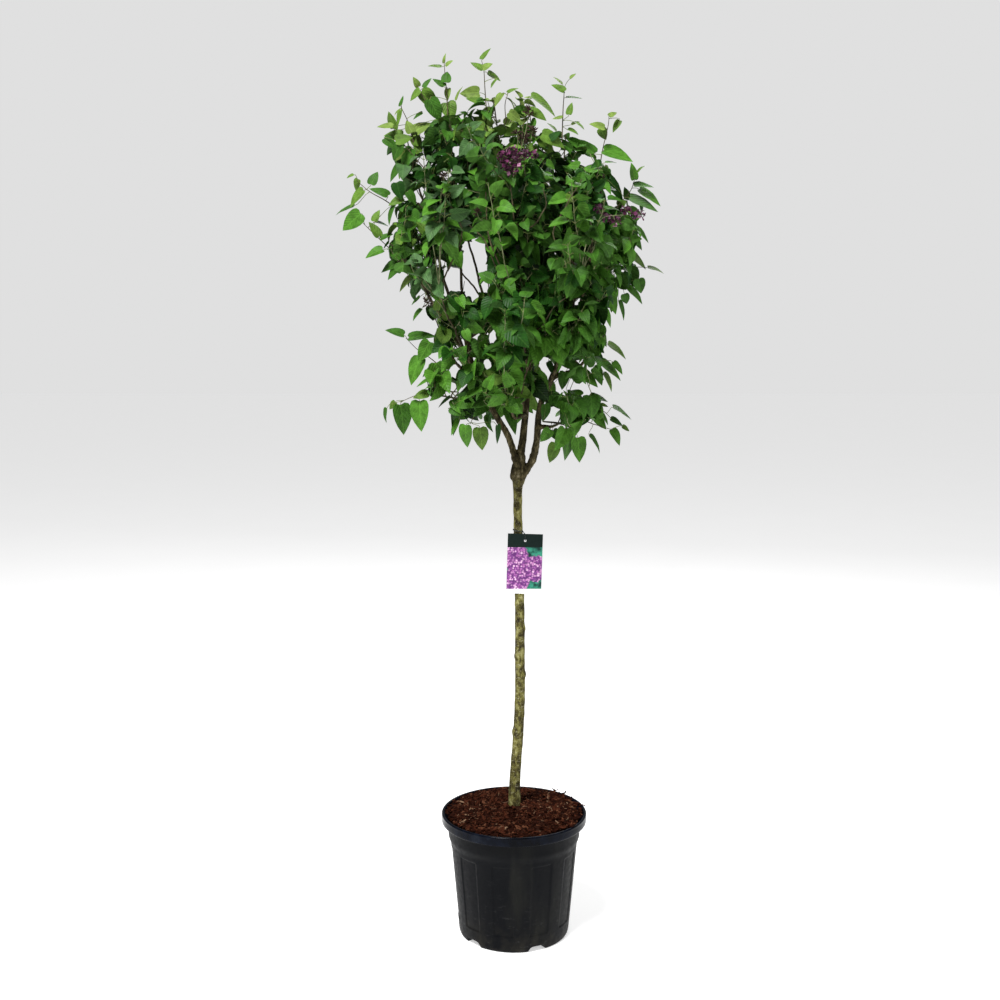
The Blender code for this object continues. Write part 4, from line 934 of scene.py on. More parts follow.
def make_soil():
    sides = SOIL_SIDES
    points, faces = [(0.0, 0.0, float(soil_height(0.0, 0.0)))], []
    for ring in range(1, SOIL_RINGS + 1):
        radius = SOIL_RADIUS * ring / SOIL_RINGS
        for k in range(sides):
            turn = math.tau * k / sides
            x, y = radius * math.cos(turn), radius * math.sin(turn)
            z = float(soil_height(x, y))
            for size, level, scale in SOIL_LUMPS:
                z += size * lumps(x, y, level, scale)
            points.append((x, y, z))
    points += [(x, y, SOIL_FOOT) for x, y, _ in points[-sides:]]
    faces += [(0, 1 + k, 1 + (k + 1) % sides) for k in range(sides)]
    for ring in range(SOIL_RINGS):
        low, high = 1 + ring * sides, 1 + (ring + 1) * sides
        faces += [(low + k, high + k, high + (k + 1) % sides, low + (k + 1) % sides) for k in range(sides)]
    faces.append(tuple(range(len(points) - sides, len(points)))[::-1])
    ground = chip_finish("mulch_ground", (0.008, 0.0025, 0.0012), (0.034, 0.012, 0.007))
    soil = new_object("soil_mound", points, faces, [ground], smooth_deg=70)
    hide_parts("soil")
    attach(soil, "root")


def chip_body(luck, length, width, thick):
    """A torn sliver of bark: a bent wedge with ragged ends."""
    rings = 4
    points = []
    bow = luck.uniform(-0.25, 0.25) * length
    for i in range(rings):
        share = i / (rings - 1)
        half = width / 2 * (0.35 + 0.65 * math.sin(math.pi * (0.15 + 0.7 * share))) * luck.uniform(0.7, 1.25)
        rise = bow * (share - 0.5) ** 2 * 4
        lean = luck.uniform(-0.3, 0.3) * width
        deep = thick / 2 * luck.uniform(0.6, 1.2)
        x = (share - 0.5) * length + luck.uniform(-0.06, 0.06) * length
        for y, z in ((-half, -deep), (half, -deep), (half * 0.8, deep), (-half * 0.8, deep)):
            points.append((x, y + lean, z + rise + luck.uniform(-0.2, 0.2) * thick))
    faces = [(3, 2, 1, 0), (12, 13, 14, 15), *ring_faces(rings, 4)]
    return np.array(points), faces


def set_down(points, place, heading, tilt, roll):
    """Turns a chip's points to a heading, tilts it, and moves it to its place."""
    flat = np.array((math.cos(heading), math.sin(heading), 0.0))
    long_way = unit(flat + UP * tilt)
    side = unit(np.cross(UP, long_way) + UP * roll)
    top = np.cross(long_way, side)
    return place + points[:, :1] * long_way + points[:, 1:2] * side + points[:, 2:] * top


def near_stem(x, y, clear):
    return math.hypot(x - TRUNK_LINE[0][0], y - TRUNK_Y) < clear


def lay_chips(body, luck):
    """Slivers of bark over the soil, some of them on the rim."""
    for i in range(CHIPS):
        turn = luck.uniform(0, math.tau)
        on_rim = i < RIM_CHIPS
        if on_rim:
            turn = math.radians(luck.choice([luck.gauss(*pile) for pile in RIM_PILES]))
            radius = luck.uniform(*RIM_PILE_REACH)
        else:
            radius = CHIP_REACH * math.sqrt(luck.uniform(0.008, 1.0))
        x, y = radius * math.cos(turn), radius * math.sin(turn)
        long = luck.lognormvariate(math.log(CHIP_LENGTH), CHIP_LENGTH_SPREAD)
        long = min(max(long, CHIP_SHORTEST), CHIP_LONGEST)
        wide, thick = long * luck.uniform(*CHIP_WIDTHS), luck.uniform(*CHIP_THICKNESSES)
        if radius > EDGE_RADIUS and not on_rim:
            long = min(long, EDGE_LENGTH)
        if near_stem(x, y, CHIP_STEM_CLEAR):
            continue
        lift = luck.uniform(0.0002, 0.0034)
        z = float(soil_height(x, y)) + lift + 0.35 * max(0.0, radius - RIM_PILE_REACH[0])
        tilt, roll = luck.gauss(0, 0.22), luck.gauss(0, 0.35)
        if on_rim:
            z = POT_HEIGHT + thick * 0.5 + luck.uniform(0, 0.0022)
            tilt *= 0.4
        points, faces = chip_body(luck, long, wide, thick)
        finish = pick(luck, CHIP_SHARES)
        placed = set_down(points, np.array((x, y, z)), luck.uniform(0, math.tau), tilt, roll)
        body.add(placed, faces, finish)


def lay_fibres(body, luck):
    """Thin paler shreds between the slivers."""
    for _ in range(FIBRES):
        turn, radius = luck.uniform(0, math.tau), FIBRE_REACH * math.sqrt(luck.uniform(0.02, 1.0))
        x, y = radius * math.cos(turn), radius * math.sin(turn)
        if near_stem(x, y, FIBRE_STEM_CLEAR):
            continue
        z = float(soil_height(x, y)) + luck.uniform(0.0012, 0.0040)
        long = luck.uniform(0.006, 0.016)
        points, faces = chip_body(luck, long, luck.uniform(0.0005, 0.0011), 0.0006)
        finish = pick(luck, FIBRE_SHARES)
        placed = set_down(points, np.array((x, y, z)), luck.uniform(0, math.tau), luck.gauss(0, 0.3), 0.0)
        body.add(placed, faces, finish)


def make_mulch():
    luck = random.Random(SEED + 1)
    body = Body()
    lay_chips(body, luck)
    lay_fibres(body, luck)
    materials = [chip_finish(*tone) for tone in MULCH_TONES]
    chips = body.shown("bark_mulch", materials, 30)
    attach(chips, "root")


# Trunk, boughs and limbs


def trunk_radius(height):
    share = (height - SEAT_HEIGHT) / (UNION_HEIGHT - SEAT_HEIGHT)
    radius = TRUNK_FOOT_RADIUS + (TRUNK_WAIST_RADIUS - TRUNK_FOOT_RADIUS) * min(1.0, share * 1.1)
    radius += FLARE * math.exp(-max(0.0, height - SEAT_HEIGHT) / FLARE_HEIGHT)
    reach = UNION_HALF_HEIGHT if height > UNION_HEIGHT else UNION_DROP
    bulge = math.exp(-(((height - UNION_HEIGHT) / reach) ** 2))
    radius += (UNION_RADIUS - TRUNK_WAIST_RADIUS) * bulge
    return radius if height < TRUNK_TOP - 0.001 else TRUNK_TIP_RADIUS


def knot_swell(point, turns):
    swell = np.ones(len(turns))
    for height, facing in KNOTS:
        near = math.exp(-(((point[2] - height) / KNOT_HALF_HEIGHT) ** 2))
        swell += KNOT_SWELL * near * np.maximum(0.0, np.cos(turns - math.radians(facing))) ** 3
    return swell


def limb_line(parent_line, share, root, tip, steps):
    start, heading = along(parent_line, share)
    aim = unit(root - start)
    leaving = heading if share == 1.0 else unit(heading * 0.3 + aim)
    return bend(start, leaving, root, unit(tip - root + UP * 0.3 * np.linalg.norm(tip - root)), steps)


def wood_lines():
    """The centre lines and radii of the trunk, the boughs and the limbs."""
    line = spline([(x, TRUNK_Y, z) for x, z in TRUNK_LINE], 24)
    found = {"trunk": (line, [trunk_radius(p[2]) for p in line])}
    for name, (knots, root, tip) in BOUGHS.items():
        line = spline(knots, 10)
        found[name] = (line, list(np.linspace(root, tip, len(line))))
    for name, (parent, share, root, tip) in MASSES.items():
        parent_line, parent_radii = found[parent]
        line = limb_line(parent_line, share, np.array(root), np.array(tip), 14)
        there = np.interp(share, np.linspace(0, 1, len(parent_radii)), parent_radii)
        thick = there if share == 1.0 else there * LIMB_ROOT_SHARE
        shares = np.linspace(0, 1, len(line))
        flare = 1 + 0.35 * np.exp(-shares / 0.10)
        found["limb_" + name] = (line, list((thick + (LIMB_TIP_RADIUS - thick) * shares) * flare))
    return found


def make_wood(lines):
    """Trunk, boughs and limbs as one skin, with swollen joints and furrowed bark."""
    body = Body()
    for name, (line, radii) in lines.items():
        swell = knot_swell if name == "trunk" else None
        body.add(*tube(line, radii, WOOD_SIDES, UP if name == "trunk" else None, swell))
    obj = body.shown("bark_skin", [bark_finish()], 0)
    remesh = obj.modifiers.new("skin", "REMESH")
    remesh.mode = "VOXEL"
    remesh.voxel_size = BARK_VOXEL
    remesh.use_smooth_shade = True
    soften = obj.modifiers.new("soften", "SMOOTH")
    soften.factor = 0.5
    soften.iterations = 4
    graph = bpy.context.evaluated_depsgraph_get()
    mesh = bpy.data.meshes.new_from_object(obj.evaluated_get(graph))
    obj.modifiers.clear()
    obj.data = mesh
    points = np.empty(len(mesh.vertices) * 3)
    normals = np.empty(len(mesh.vertices) * 3)
    mesh.vertices.foreach_get("co", points)
    mesh.vertices.foreach_get("normal", normals)
    points, normals = points.reshape(-1, 3), normals.reshape(-1, 3)
    moves = np.empty(len(points))
    for i, (x, y, z) in enumerate(points):
        furrow = lumps(x, y, z * 0.22, 330)
        knob = lumps(x, y, z * 0.6, 85)
        burr = float(smoothstep(z, *BURR_FOOT) * (1 - smoothstep(z, *BURR_HEAD)))
        rough = FURROW_DEPTH * furrow + KNOB_DEPTH * knob
        moves[i] = (1 + 1.2 * burr) * rough + BURR_DEPTH * burr * lumps(x, y, z, 130)
    mesh.vertices.foreach_set("co", (points + normals * moves[:, None]).ravel())
    mesh.shade_smooth()
    mesh.update()
    nodes = ["trunk", *BOUGHS, *("limb_" + name for name in MASSES)]
    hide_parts(*nodes)
    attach(obj, "root")


# Foliage

# A blade's half outline from its notch to its tip, and the midrib point level with each: across, up, midrib
BLADE = np.array((
    (0.000, 0.000, 0.000), (0.170, -0.055, 0.050), (0.312, -0.015, 0.130), (0.384, 0.120, 0.240),
    (0.388, 0.300, 0.370), (0.340, 0.490, 0.530), (0.240, 0.690, 0.710), (0.112, 0.865, 0.875),
    (0.000, 1.000, 1.000),
))
BLADE_COLUMNS = 5
BLADE_THICK = 0.0007
TOP_FACE, UNDER_FACE = 0, 1


def blade_template():
    """A blade as a thin closed body: points (across, up, side of the skin), faces, and the skin of each."""
    rows = len(BLADE)
    columns = np.linspace(-1, 1, BLADE_COLUMNS)
    points, ids = [], {}
    for r, (across, up, rib) in enumerate(BLADE):
        for c, s in enumerate(columns):
            at_end = r in (0, rows - 1)
            edge = abs(s) == 1 or at_end
            for skin in (1, -1):
                key = (r, 0 if at_end else c, 0 if edge else skin)
                if key not in ids:
                    ids[key] = len(points)
                    y = rib + (up - rib) * abs(s) ** 1.6
                    points.append((s * across, y, 0 if edge else skin))
                ids[(r, c, skin)] = ids[key]
    faces, finish = [], []
    for r in range(rows - 1):
        for c in range(BLADE_COLUMNS - 1):
            for skin in (1, -1):
                corners = [(r, c), (r, c + 1), (r + 1, c + 1), (r + 1, c)]
                loop = list(dict.fromkeys(ids[(a, b, skin)] for a, b in corners))
                faces.append(tuple(loop if skin == 1 else loop[::-1]))
                finish.append(TOP_FACE if skin == 1 else UNDER_FACE)
    return np.array(points), faces, finish


def shape_blade(template, leaf):
    """A leaf's points: folded along its midrib, curled down towards its tip, and waved along its edges."""
    across, up, skin = template.T
    x = across * leaf["wide"]
    rise = np.abs(x) * leaf["fold"]
    wave = np.sin(up * 9 + leaf["phase"]) * np.abs(across) * leaf["wave"]
    turn = leaf["curl"] * np.clip(up, 0, 1)
    y = np.where(np.abs(turn) > 1e-4, np.sin(turn) / np.maximum(leaf["curl"], 1e-4), up)
    y = np.where(up < 0, up, y)
    drop = (1 - np.cos(turn)) / max(leaf["curl"], 1e-4)
    z = rise + wave - drop
    size, side = leaf["size"], np.cross(leaf["out"], leaf["face"])
    blade = x[:, None] * side + y[:, None] * leaf["out"] + z[:, None] * leaf["face"]
    middle = leaf["base"] + size * blade
    return middle + (skin * BLADE_THICK / 2)[:, None] * leaf["face"]


def front_view(points):
    """Points slid along the camera's sight lines to the plane y = 0, as x and height."""
    share = -CAMERA_PLACE[1] / (points[:, 1] - CAMERA_PLACE[1])
    x = CAMERA_PLACE[0] + (points[:, 0] - CAMERA_PLACE[0]) * share
    z = CAMERA_PLACE[2] + (points[:, 2] - CAMERA_PLACE[2]) * share
    return x, z


def side_at(side, heights):
    """Where a side of the crown's outline stands at each height."""
    return np.interp(-heights, -side[:, 1] / 1000, side[:, 0] / 1000)


def from_photo(u, v, depth):
    """The point at a depth that shows at a place of the photo, in its pixels, and a pixel's size there."""
    focal = PHOTO_SIZE * CAMERA_LENS / SENSOR_WIDTH
    pitch = math.radians(CAMERA_PITCH_DEG)
    right = (u - PHOTO_SIZE / 2) / focal
    up = (PHOTO_SIZE / 2 - v) / focal
    sight = np.array((right, math.cos(pitch) + up * math.sin(pitch), up * math.cos(pitch) - math.sin(pitch)))
    reach = (depth - CAMERA_PLACE[1]) / sight[1]
    return CAMERA_PLACE + sight * reach, reach / focal


def from_front(x, height, depth):
    """The point at a depth that shows at a place of the plane y = 0. All three are given in millimetres."""
    x, height, depth = x / 1000, height / 1000, depth / 1000
    share = (depth - CAMERA_PLACE[1]) / -CAMERA_PLACE[1]
    return np.array((CAMERA_PLACE[0] + (x - CAMERA_PLACE[0]) * share, depth,
                     CAMERA_PLACE[2] + (height - CAMERA_PLACE[2]) * share))


# The places of a blade that are tested: across, up
SAMPLES = np.array((
    (0.0, 0.02), (0.0, 0.35), (0.0, 0.68), (0.0, 1.0), (0.30, 0.10), (-0.30, 0.10), (0.34, 0.32),
    (-0.34, 0.32), (0.17, 0.22), (-0.17, 0.22), (0.22, 0.60), (-0.22, 0.60),
))


def blade_samples(leaf):
    return shape_blade(np.column_stack((SAMPLES, np.zeros(len(SAMPLES)))), leaf)


def crown_share(height):
    """How far up the crown a height is."""
    return (height - CROWN_START) / CROWN_TALL


class Crown:
    """Where a leaf may stand: inside the crown's outline, clear of the wood and of the other leaves."""

    def __init__(self, lines):
        self.starts = np.array([p for line, _ in lines.values() for p in line[:-1]])
        self.ends = np.array([p for line, _ in lines.values() for p in line[1:]])
        self.radii = np.array([r for _, radii in lines.values() for r in radii[:-1]])
        self.runs = self.ends - self.starts
        self.squares = (self.runs * self.runs).sum(1)
        self.samples = np.zeros((MOST_LEAVES, len(SAMPLES), 3))
        self.middles = np.zeros((MOST_LEAVES, 3))
        self.count = 0
        self.windows = np.zeros((0, 4))
        self.reach = BODY_SHARE

    def inside(self, points, slack=0.0):
        x, z = front_view(points)
        left = side_at(LEFT_SIDE, z) - slack
        right = side_at(RIGHT_SIDE, z) + slack
        if (x < left).any() or (x > right).any():
            return False
        if points[:, 2].min() < CROWN_FOOT or points[:, 2].max() > CROWN_TOP:
            return False
        gap = np.hypot((x[:, None] - SKY[:, 0]) / SKY[:, 2], (z[:, None] - SKY[:, 1]) / SKY[:, 3])
        if (gap < 1).any():
            return False
        gap = np.hypot(x[:, None] - self.windows[:, 0], z[:, None] - self.windows[:, 1])
        if ((gap < self.windows[:, 2]) & (points[:, 1, None] < self.windows[:, 3])).any():
            return False
        if points[:, 1].min() < CROWN_FRONT or points[:, 1].max() > CROWN_BACK:
            return False
        half = np.interp(points[:, 2], *DEPTH_ROWS)
        middle = (left + right) / 2
        wide = np.maximum((right - left) / 2 + CROWN_SPARE, CROWN_LEAST_HALF)
        round_share = np.hypot((points[:, 0] - middle) / wide, points[:, 1] / half)
        return bool((round_share < self.reach).all())

    def open_before(self, x, height, radius, depth):
        """Keeps leaves from hiding a place, given in millimetres, from the front."""
        self.windows = np.vstack((self.windows, np.array((x, height, radius, depth + radius)) / 1000))

    def clear_of_wood(self, points, clear):
        near = np.abs(self.starts - points.mean(0)).max(1) < NEAR_WOOD
        if not near.any():
            return True
        starts, runs, squares = self.starts[near], self.runs[near], self.squares[near]
        offsets = points[:, None, :] - starts[None]
        shares = np.clip((offsets * runs).sum(2) / squares, 0, 1)
        gaps = np.linalg.norm(offsets - shares[:, :, None] * runs, axis=2) - self.radii[near]
        return bool(gaps.min() > clear)

    def apart(self, points, least):
        near = np.abs(self.middles[:self.count] - points.mean(0)).max(1) < NEAR_LEAF
        if not near.any():
            return True
        others = self.samples[:self.count][near].reshape(-1, 3)
        gaps = np.linalg.norm(points[:, None, :] - others[None], axis=2)
        return bool(gaps.min() > least)

    def keep(self, points):
        self.samples[self.count] = points
        self.middles[self.count] = points.mean(0)
        self.count += 1


TINTS = (
    ("leaf_young", (0.115, 0.178, 0.034)),
    ("leaf_light", (0.070, 0.136, 0.018)),
    ("leaf_fresh", (0.049, 0.142, 0.013)),
    ("leaf_green", (0.029, 0.090, 0.009)),
    # partly painted shade: dark leaves dealt most where the crown is shaded
    ("leaf_dark_and_painted_shade", (0.008, 0.042, 0.003)),
    ("leaf_grey", (0.044, 0.100, 0.030)),
    # painted shade: the darkest tint, dealt only to sprays deep inside the crown
    ("leaf_painted_deep_shade", (0.003, 0.015, 0.001)),
)
YOUNG_TINT, LIGHT_TINT, GREY_TINT = 0, 1, 5
# How often each of TINTS is dealt to a spray: above which share of the crown's height, then the shares.
# Partly real tints, such as young leaves high up, and partly painted light and shade: more dark leaves at the
# shaded middle heights, paler lit ones at the top and the foot
# Deep inside the crown only the dark tints, as painted shade
INNER_PAINTED_SHADE_TINTS = (0, 0, 0, 0, 0.40, 0, 0.60)
ZONE_TINTS_AND_PAINTED_LIGHT = (
    (0.82, (0.10, 0.42, 0.10, 0.30, 0.08, 0, 0)),
    (0.70, (0, 0.20, 0.20, 0.38, 0.22, 0, 0)),
    (0.33, (0, 0.04, 0.24, 0.38, 0.34, 0, 0)),
    (-1.0, (0, 0.06, 0.56, 0.32, 0.02, 0.04, 0)),
)
# The same for the leaves of the outer sprays, above a height, with the same painted light and shade
OUTER_TINTS = (
    (1.62, (0.20, 0.50, 0, 0.30, 0, 0, 0)),
    (1.30, (0.02, 0.34, 0.16, 0.40, 0.08, 0, 0)),
    (-1.0, (0, 0.10, 0.50, 0.36, 0.04, 0, 0)),
)


def quarter_turns(heading, turn):
    across = unit(np.cross(heading, UP if abs(heading[2]) < 0.95 else np.array((1.0, 0.0, 0.0))))
    return across * math.cos(turn) + np.cross(heading, across) * math.sin(turn)


class Tree:
    """All that grows on the limbs: shoots, leaf stalks, leaves and blossom."""

    def __init__(self, lines):
        self.crown = Crown(lines)
        self.lines = lines
        self.luck = random.Random(SEED)
        self.shoots, self.stalks, self.leaves = [], [], []
        self.leaders = {}
        for name, (_, _, _, tip) in MASSES.items():
            line, radii = lines["limb_" + name]
            root, arriving, tip = line[-1], unit(line[-1] - line[-2]), np.array(tip)
            leader = bend(root, arriving, tip, unit(unit(tip - root) + UP * 0.5), 24)
            leader = self.wander(leader, 0.0025)
            while len(leader) > LEADER_LEAST and not self.crown.inside(leader[-1][None]):
                leader.pop()
            self.leaders[name] = leader
            self.shoots.append((leader, np.linspace(radii[-1], LEADER_TIP_RADIUS, len(leader))))

    def wander(self, line, reach):
        """A line with slight kinks, which keeps its two ends."""
        line = [np.array(p) for p in line]
        drift = np.zeros(3)
        for i in range(1, len(line) - 1):
            drift = drift * 0.6 + stray(self.luck, 1) * reach * 0.4
            fade = min(1.0, i / 3, (len(line) - 1 - i) / 3)
            line[i] = line[i] + drift * fade
        return line

    def shoot_line(self, root, heading, length):
        steps = max(4, round(length / STEP))
        points = [root]
        for _ in range(steps - 1):
            rise = UP * SHOOT_RISE * length / (steps - 1) * 0.6
            heading = unit(heading + rise + stray(self.luck, SHOOT_STRAY))
            points.append(points[-1] + heading * length / (steps - 1))
        return points

    def side_shoot(self, line, share, turn, length, thick, depth):
        root, heading = along(line, share)
        lateral = quarter_turns(heading, turn)
        angle = math.radians(SHOOT_ANGLE_DEG + self.luck.uniform(-10, 10))
        aim = unit(heading * math.cos(angle) + lateral * math.sin(angle))
        for shorter in SHOOT_TRIES:
            size = length * shorter * self.luck.uniform(0.85, 1.05)
            shoot = self.shoot_line(root, aim, size)
            points = np.array(shoot[1:])
            if self.crown.inside(points, -0.002) and self.crown.clear_of_wood(points[1:], SHOOT_CLEAR):
                break
        else:
            return
        radii = np.linspace(thick, TWIG_TIP_RADIUS, len(shoot))
        shoots_before, leaves_before = len(self.shoots), len(self.leaves)
        self.shoots.append((shoot, radii))
        kind = self.spray_kind(shoot[-1])
        if depth and size > 0.06:
            spin = self.luck.uniform(0, math.pi)
            for flip in (0, math.pi):
                self.side_shoot(shoot, 0.38, spin + flip, size * 0.55, TWIG_RADIUS * 0.8, depth - 1)
        self.leafy(shoot, 0.26 if size > 0.05 else 0.45, kind)
        if len(self.leaves) - leaves_before < LEAST_LEAVES:
            del self.shoots[shoots_before:]

    def spray_kind(self, tip):
        """Which tint a spray has, by where it stands in the crown; deep inside it only the darkest tints, as
        painted shade.
        """
        out = np.hypot((tip[0] - CROWN_MIDDLE[0]) / CROWN_HALF_WIDTH, tip[1] / CROWN_DEPTH)
        high = crown_share(tip[2])
        # Deep inside the crown's middle only the dark tints are dealt: painted shade
        if out < 0.45 and high < 0.75:
            shares = INNER_PAINTED_SHADE_TINTS
        else:
            shares = next(shares for least, shares in ZONE_TINTS_AND_PAINTED_LIGHT if high > least)
        if tip[0] < -0.07 and 0.36 < high < 0.82 and self.luck.random() < 0.35:
            return GREY_TINT
        return pick(self.luck, shares)

    def leafy(self, line, first, kind):
        """Pairs of leaves along a shoot, each turned a quarter from the last."""
        pairs = max(1, round(line_length(line) * (LAST_LEAF - first) / INTERNODE))
        turn = self.luck.uniform(0, math.pi)
        for pair in range(pairs + 1):
            share = first + (LAST_LEAF - first) * pair / pairs
            age = 1 - share
            for flip in (0, math.pi):
                self.leaf_at(line, share, turn + flip, age, kind)
            turn += math.pi / 2

    def leaf_at(self, line, share, turn, age, kind):
        luck = self.luck
        point, heading = along(line, share)
        top = crown_share(point[2])
        crown_out = unit(np.array((point[0] - CROWN_MIDDLE[0], point[1], 0.0)) + 1e-9)
        size = LEAF_LENGTH * luck.uniform(0.78, 1.15) * (0.60 + 0.45 * min(1.0, age * 2.2 + 0.60 * (1 - top)))
        size *= 1.10 - 0.16 * float(smoothstep(top, 0.20, 0.60))
        ragged = luck.uniform(-0.008, 0.010)
        for _ in range(LEAF_TRIES):
            lateral = quarter_turns(heading, turn + luck.uniform(-0.5, 0.5))
            stalk_way = unit(lateral + heading * 0.5 + UP * 0.1)
            stalk = STALK_LENGTH * luck.uniform(0.7, 1.2) * size / LEAF_LENGTH
            base = point + stalk_way * stalk
            droops = next(droops for most, *droops in LEAF_DROOPS if top < most)
            droop = luck.uniform(*droops) * min(1.0, 0.45 + age)
            out = unit(stalk_way * 0.9 + crown_out * 0.25 - UP * droop)
            face = crown_out * (0.62 - 0.32 * top) + UP * (0.50 + 0.50 * top) + stray(luck, LEAF_STRAY)
            face = unit(face - out * (face @ out))
            leaf = {"base": base, "out": out, "face": face, "size": size, "wide": luck.uniform(0.86, 1.12),
                    "fold": luck.uniform(0.10, 0.70), "curl": luck.uniform(0.15, 1.1),
                    "wave": luck.uniform(0, 0.07), "phase": luck.uniform(0, 6.28), "kind": kind}
            samples = blade_samples(leaf)
            if not self.crown.inside(samples, ragged):
                continue
            if self.crown.clear_of_wood(samples, WOOD_CLEAR) and self.crown.apart(samples, LEAF_APART):
                self.crown.keep(samples)
                self.leaves.append(leaf)
                middle = (point + base) / 2 + UP * stalk * 0.08
                self.stalks.append([point, middle, base, base + out * size * 0.05])
                return

    def grow(self):
        for name, leader in self.leaders.items():
            self.luck = random.Random(SEED + 31 * list(MASSES).index(name))
            pairs = max(3, round(line_length(leader) * 0.86 / SHOOT_SPACING))
            turn = self.luck.uniform(0, math.pi)
            self.leafy(leader, 0.72, self.spray_kind(leader[-1]))
            for pair in range(pairs):
                share = 0.06 + 0.80 * pair / (pairs - 1)
                length = SHOOT_LENGTH * (1.12 - 0.55 * share)
                for flip in (0, math.pi):
                    self.side_shoot(leader, share, turn + flip, length, TWIG_RADIUS, 1)
                turn += math.pi / 2

    def fringe(self):
        """Longer shoots that break the crown's outline on its front, sides and back."""
        self.luck = random.Random(SEED + 5)
        self.crown.reach = FRINGE_SHARE
        for _ in range(FRINGE_SHOOTS):
            bearing, height = self.luck.uniform(0, math.tau), self.luck.uniform(*FRINGE_HEIGHTS)
            half = np.interp(height, *DEPTH_ROWS)
            left, right = side_at(LEFT_SIDE, height), side_at(RIGHT_SIDE, height)
            x = (left + right) / 2 + (right - left) / 2 * FRINGE_ACROSS * math.cos(bearing)
            tip = np.array((x, half * math.sin(bearing) * FRINGE_DEEP, height))
            start, heading = self.nearest(tip - UP * 0.09, None)
            aim = unit(tip - start)
            line = self.wander(bend(start, unit(heading + aim), tip, unit(aim + UP), 12), 0.003)
            points = np.array(line[4:])
            if self.crown.inside(points) and self.crown.clear_of_wood(points, SHOOT_CLEAR):
                self.shoots.append((line, np.linspace(TWIG_RADIUS, TWIG_TIP_RADIUS, len(line))))
                self.leafy(line, 0.45, self.spray_kind(tip))

    def nearest(self, place, lines):
        """The nearest point on the grown wood and shoots, and the direction there."""
        best = (9.0, None, None)
        for line in lines or self.leaders.values():
            points = np.array(line)
            gaps = np.linalg.norm(points - place, axis=1) + 0.6 * np.maximum(0, points[:, 2] - place[2])
            i = min(int(gaps.argmin()), len(points) - 2)
            if gaps[i] < best[0]:
                best = (gaps[i], points[i], unit(points[i + 1] - points[i]))
        return best[1], best[2]

    def grown_to(self, knots, place):
        """A line through knots, which leaves the wood where it comes nearest to a place."""
        wood = [line for name, (line, _) in self.lines.items() if name.startswith("limb_")]
        start, heading = self.nearest(place, [*self.leaders.values(), *wood])
        leaving = unit(heading * 0.5 + unit(knots[0] - start))
        lead_in = bend(start, leaving, knots[0], unit(knots[1] - knots[0]), 8)
        return [*lead_in[:-1], *spline(knots, 5)]

    def outer_sprays(self):
        """The sprays that make the crown's outline against the sky: their twigs and then their leaves."""
        self.luck = random.Random(SEED + 3)
        for depth, twig, leaves in SPRAYS.values():
            y = depth / 1000
            knots = [from_photo(u, v, y)[0] + self.luck.uniform(-0.004, 0.004) * UNIT_Y for u, v in twig]
            line = self.grown_to(knots, knots[0])
            self.shoots.append((line, np.linspace(OUTER_TWIG_RADIUS, TWIG_TIP_RADIUS * 0.9, len(line))))
            for i, (u0, v0, u1, v1, width) in enumerate(leaves):
                base, pixel = from_photo(u0, v0, y)
                tip, _ = from_photo(u1, v1, y)
                step = (SPRAY_STAGGER if i % 2 else -SPRAY_STAGGER) * UNIT_Y
                self.placed_leaf(line, base + step, tip + step, width * pixel)

    def bare_shoots(self):
        """Long shoots without leaves that show between the leaves or cross the open places."""
        for depth, radius, points in BARE:
            knots = [from_front(x, z, depth) for x, z in points]
            line = self.wander(self.grown_to(knots, knots[0] - UP * 0.03), 0.001)
            self.shoots.append((line, np.linspace(radius, radius * 0.6, len(line)) / 1000))

    def placed_leaf(self, line, base, tip, width):
        """A leaf of an outer spray, turned about its midrib until it is as wide as it shows."""
        luck = self.luck
        tip = tip + luck.uniform(-0.008, 0.008) * UNIT_Y
        size = np.linalg.norm(tip - base) * PLACED_GROWTH
        width *= PLACED_GROWTH
        out = unit(tip - base)
        show = unit(np.array((0.0, -1.0, 0.0)) + out * out[1])
        ratio = width / (2 * BLADE[:, 0].max() * size)
        wide = float(np.clip(ratio, *PLACED_WIDTHS))
        turn = math.acos(min(1.0, max(ratio / wide, 0.25)))
        side = np.cross(out, show)
        faces = [show * math.cos(turn) + side * math.sin(turn) * flip for flip in (1, -1)]
        face = max(faces, key=lambda f: f[2])
        kind = pick(luck, next(shares for least, shares in OUTER_TINTS if base[2] > least))
        if size < BUD_LEAF:
            kind = YOUNG_TINT if base[2] > BUD_LEAF_HEIGHT else LIGHT_TINT
        leaf = {"base": base, "out": out, "face": unit(face - out * (face @ out)), "size": size,
                "wide": wide, "fold": luck.uniform(0.08, 0.28), "curl": luck.uniform(0.1, 0.5),
                "wave": luck.uniform(0, 0.04), "phase": luck.uniform(0, 6.28), "kind": kind}
        self.crown.keep(blade_samples(leaf))
        self.leaves.append(leaf)
        start, heading = self.nearest(base - out * 0.004, [line])
        if np.linalg.norm(base - start) > STALK_LEAST:
            stalk = bend(start, unit(heading * 0.4 + unit(base - start)), base, out, 5)
            self.stalks.append([*stalk, base + out * size * 0.04])


OLD_TWIG_RADIUS = 0.0013  # a thicker one is old
TWIG_TINTS = (
    ("twig_old", (0.022, 0.018, 0.008), (0.095, 0.078, 0.038)),
    ("twig_young", (0.070, 0.085, 0.030), (0.220, 0.235, 0.120)),
)
STALK_TINT = ("stalk", (0.060, 0.095, 0.020), (0.170, 0.190, 0.060))


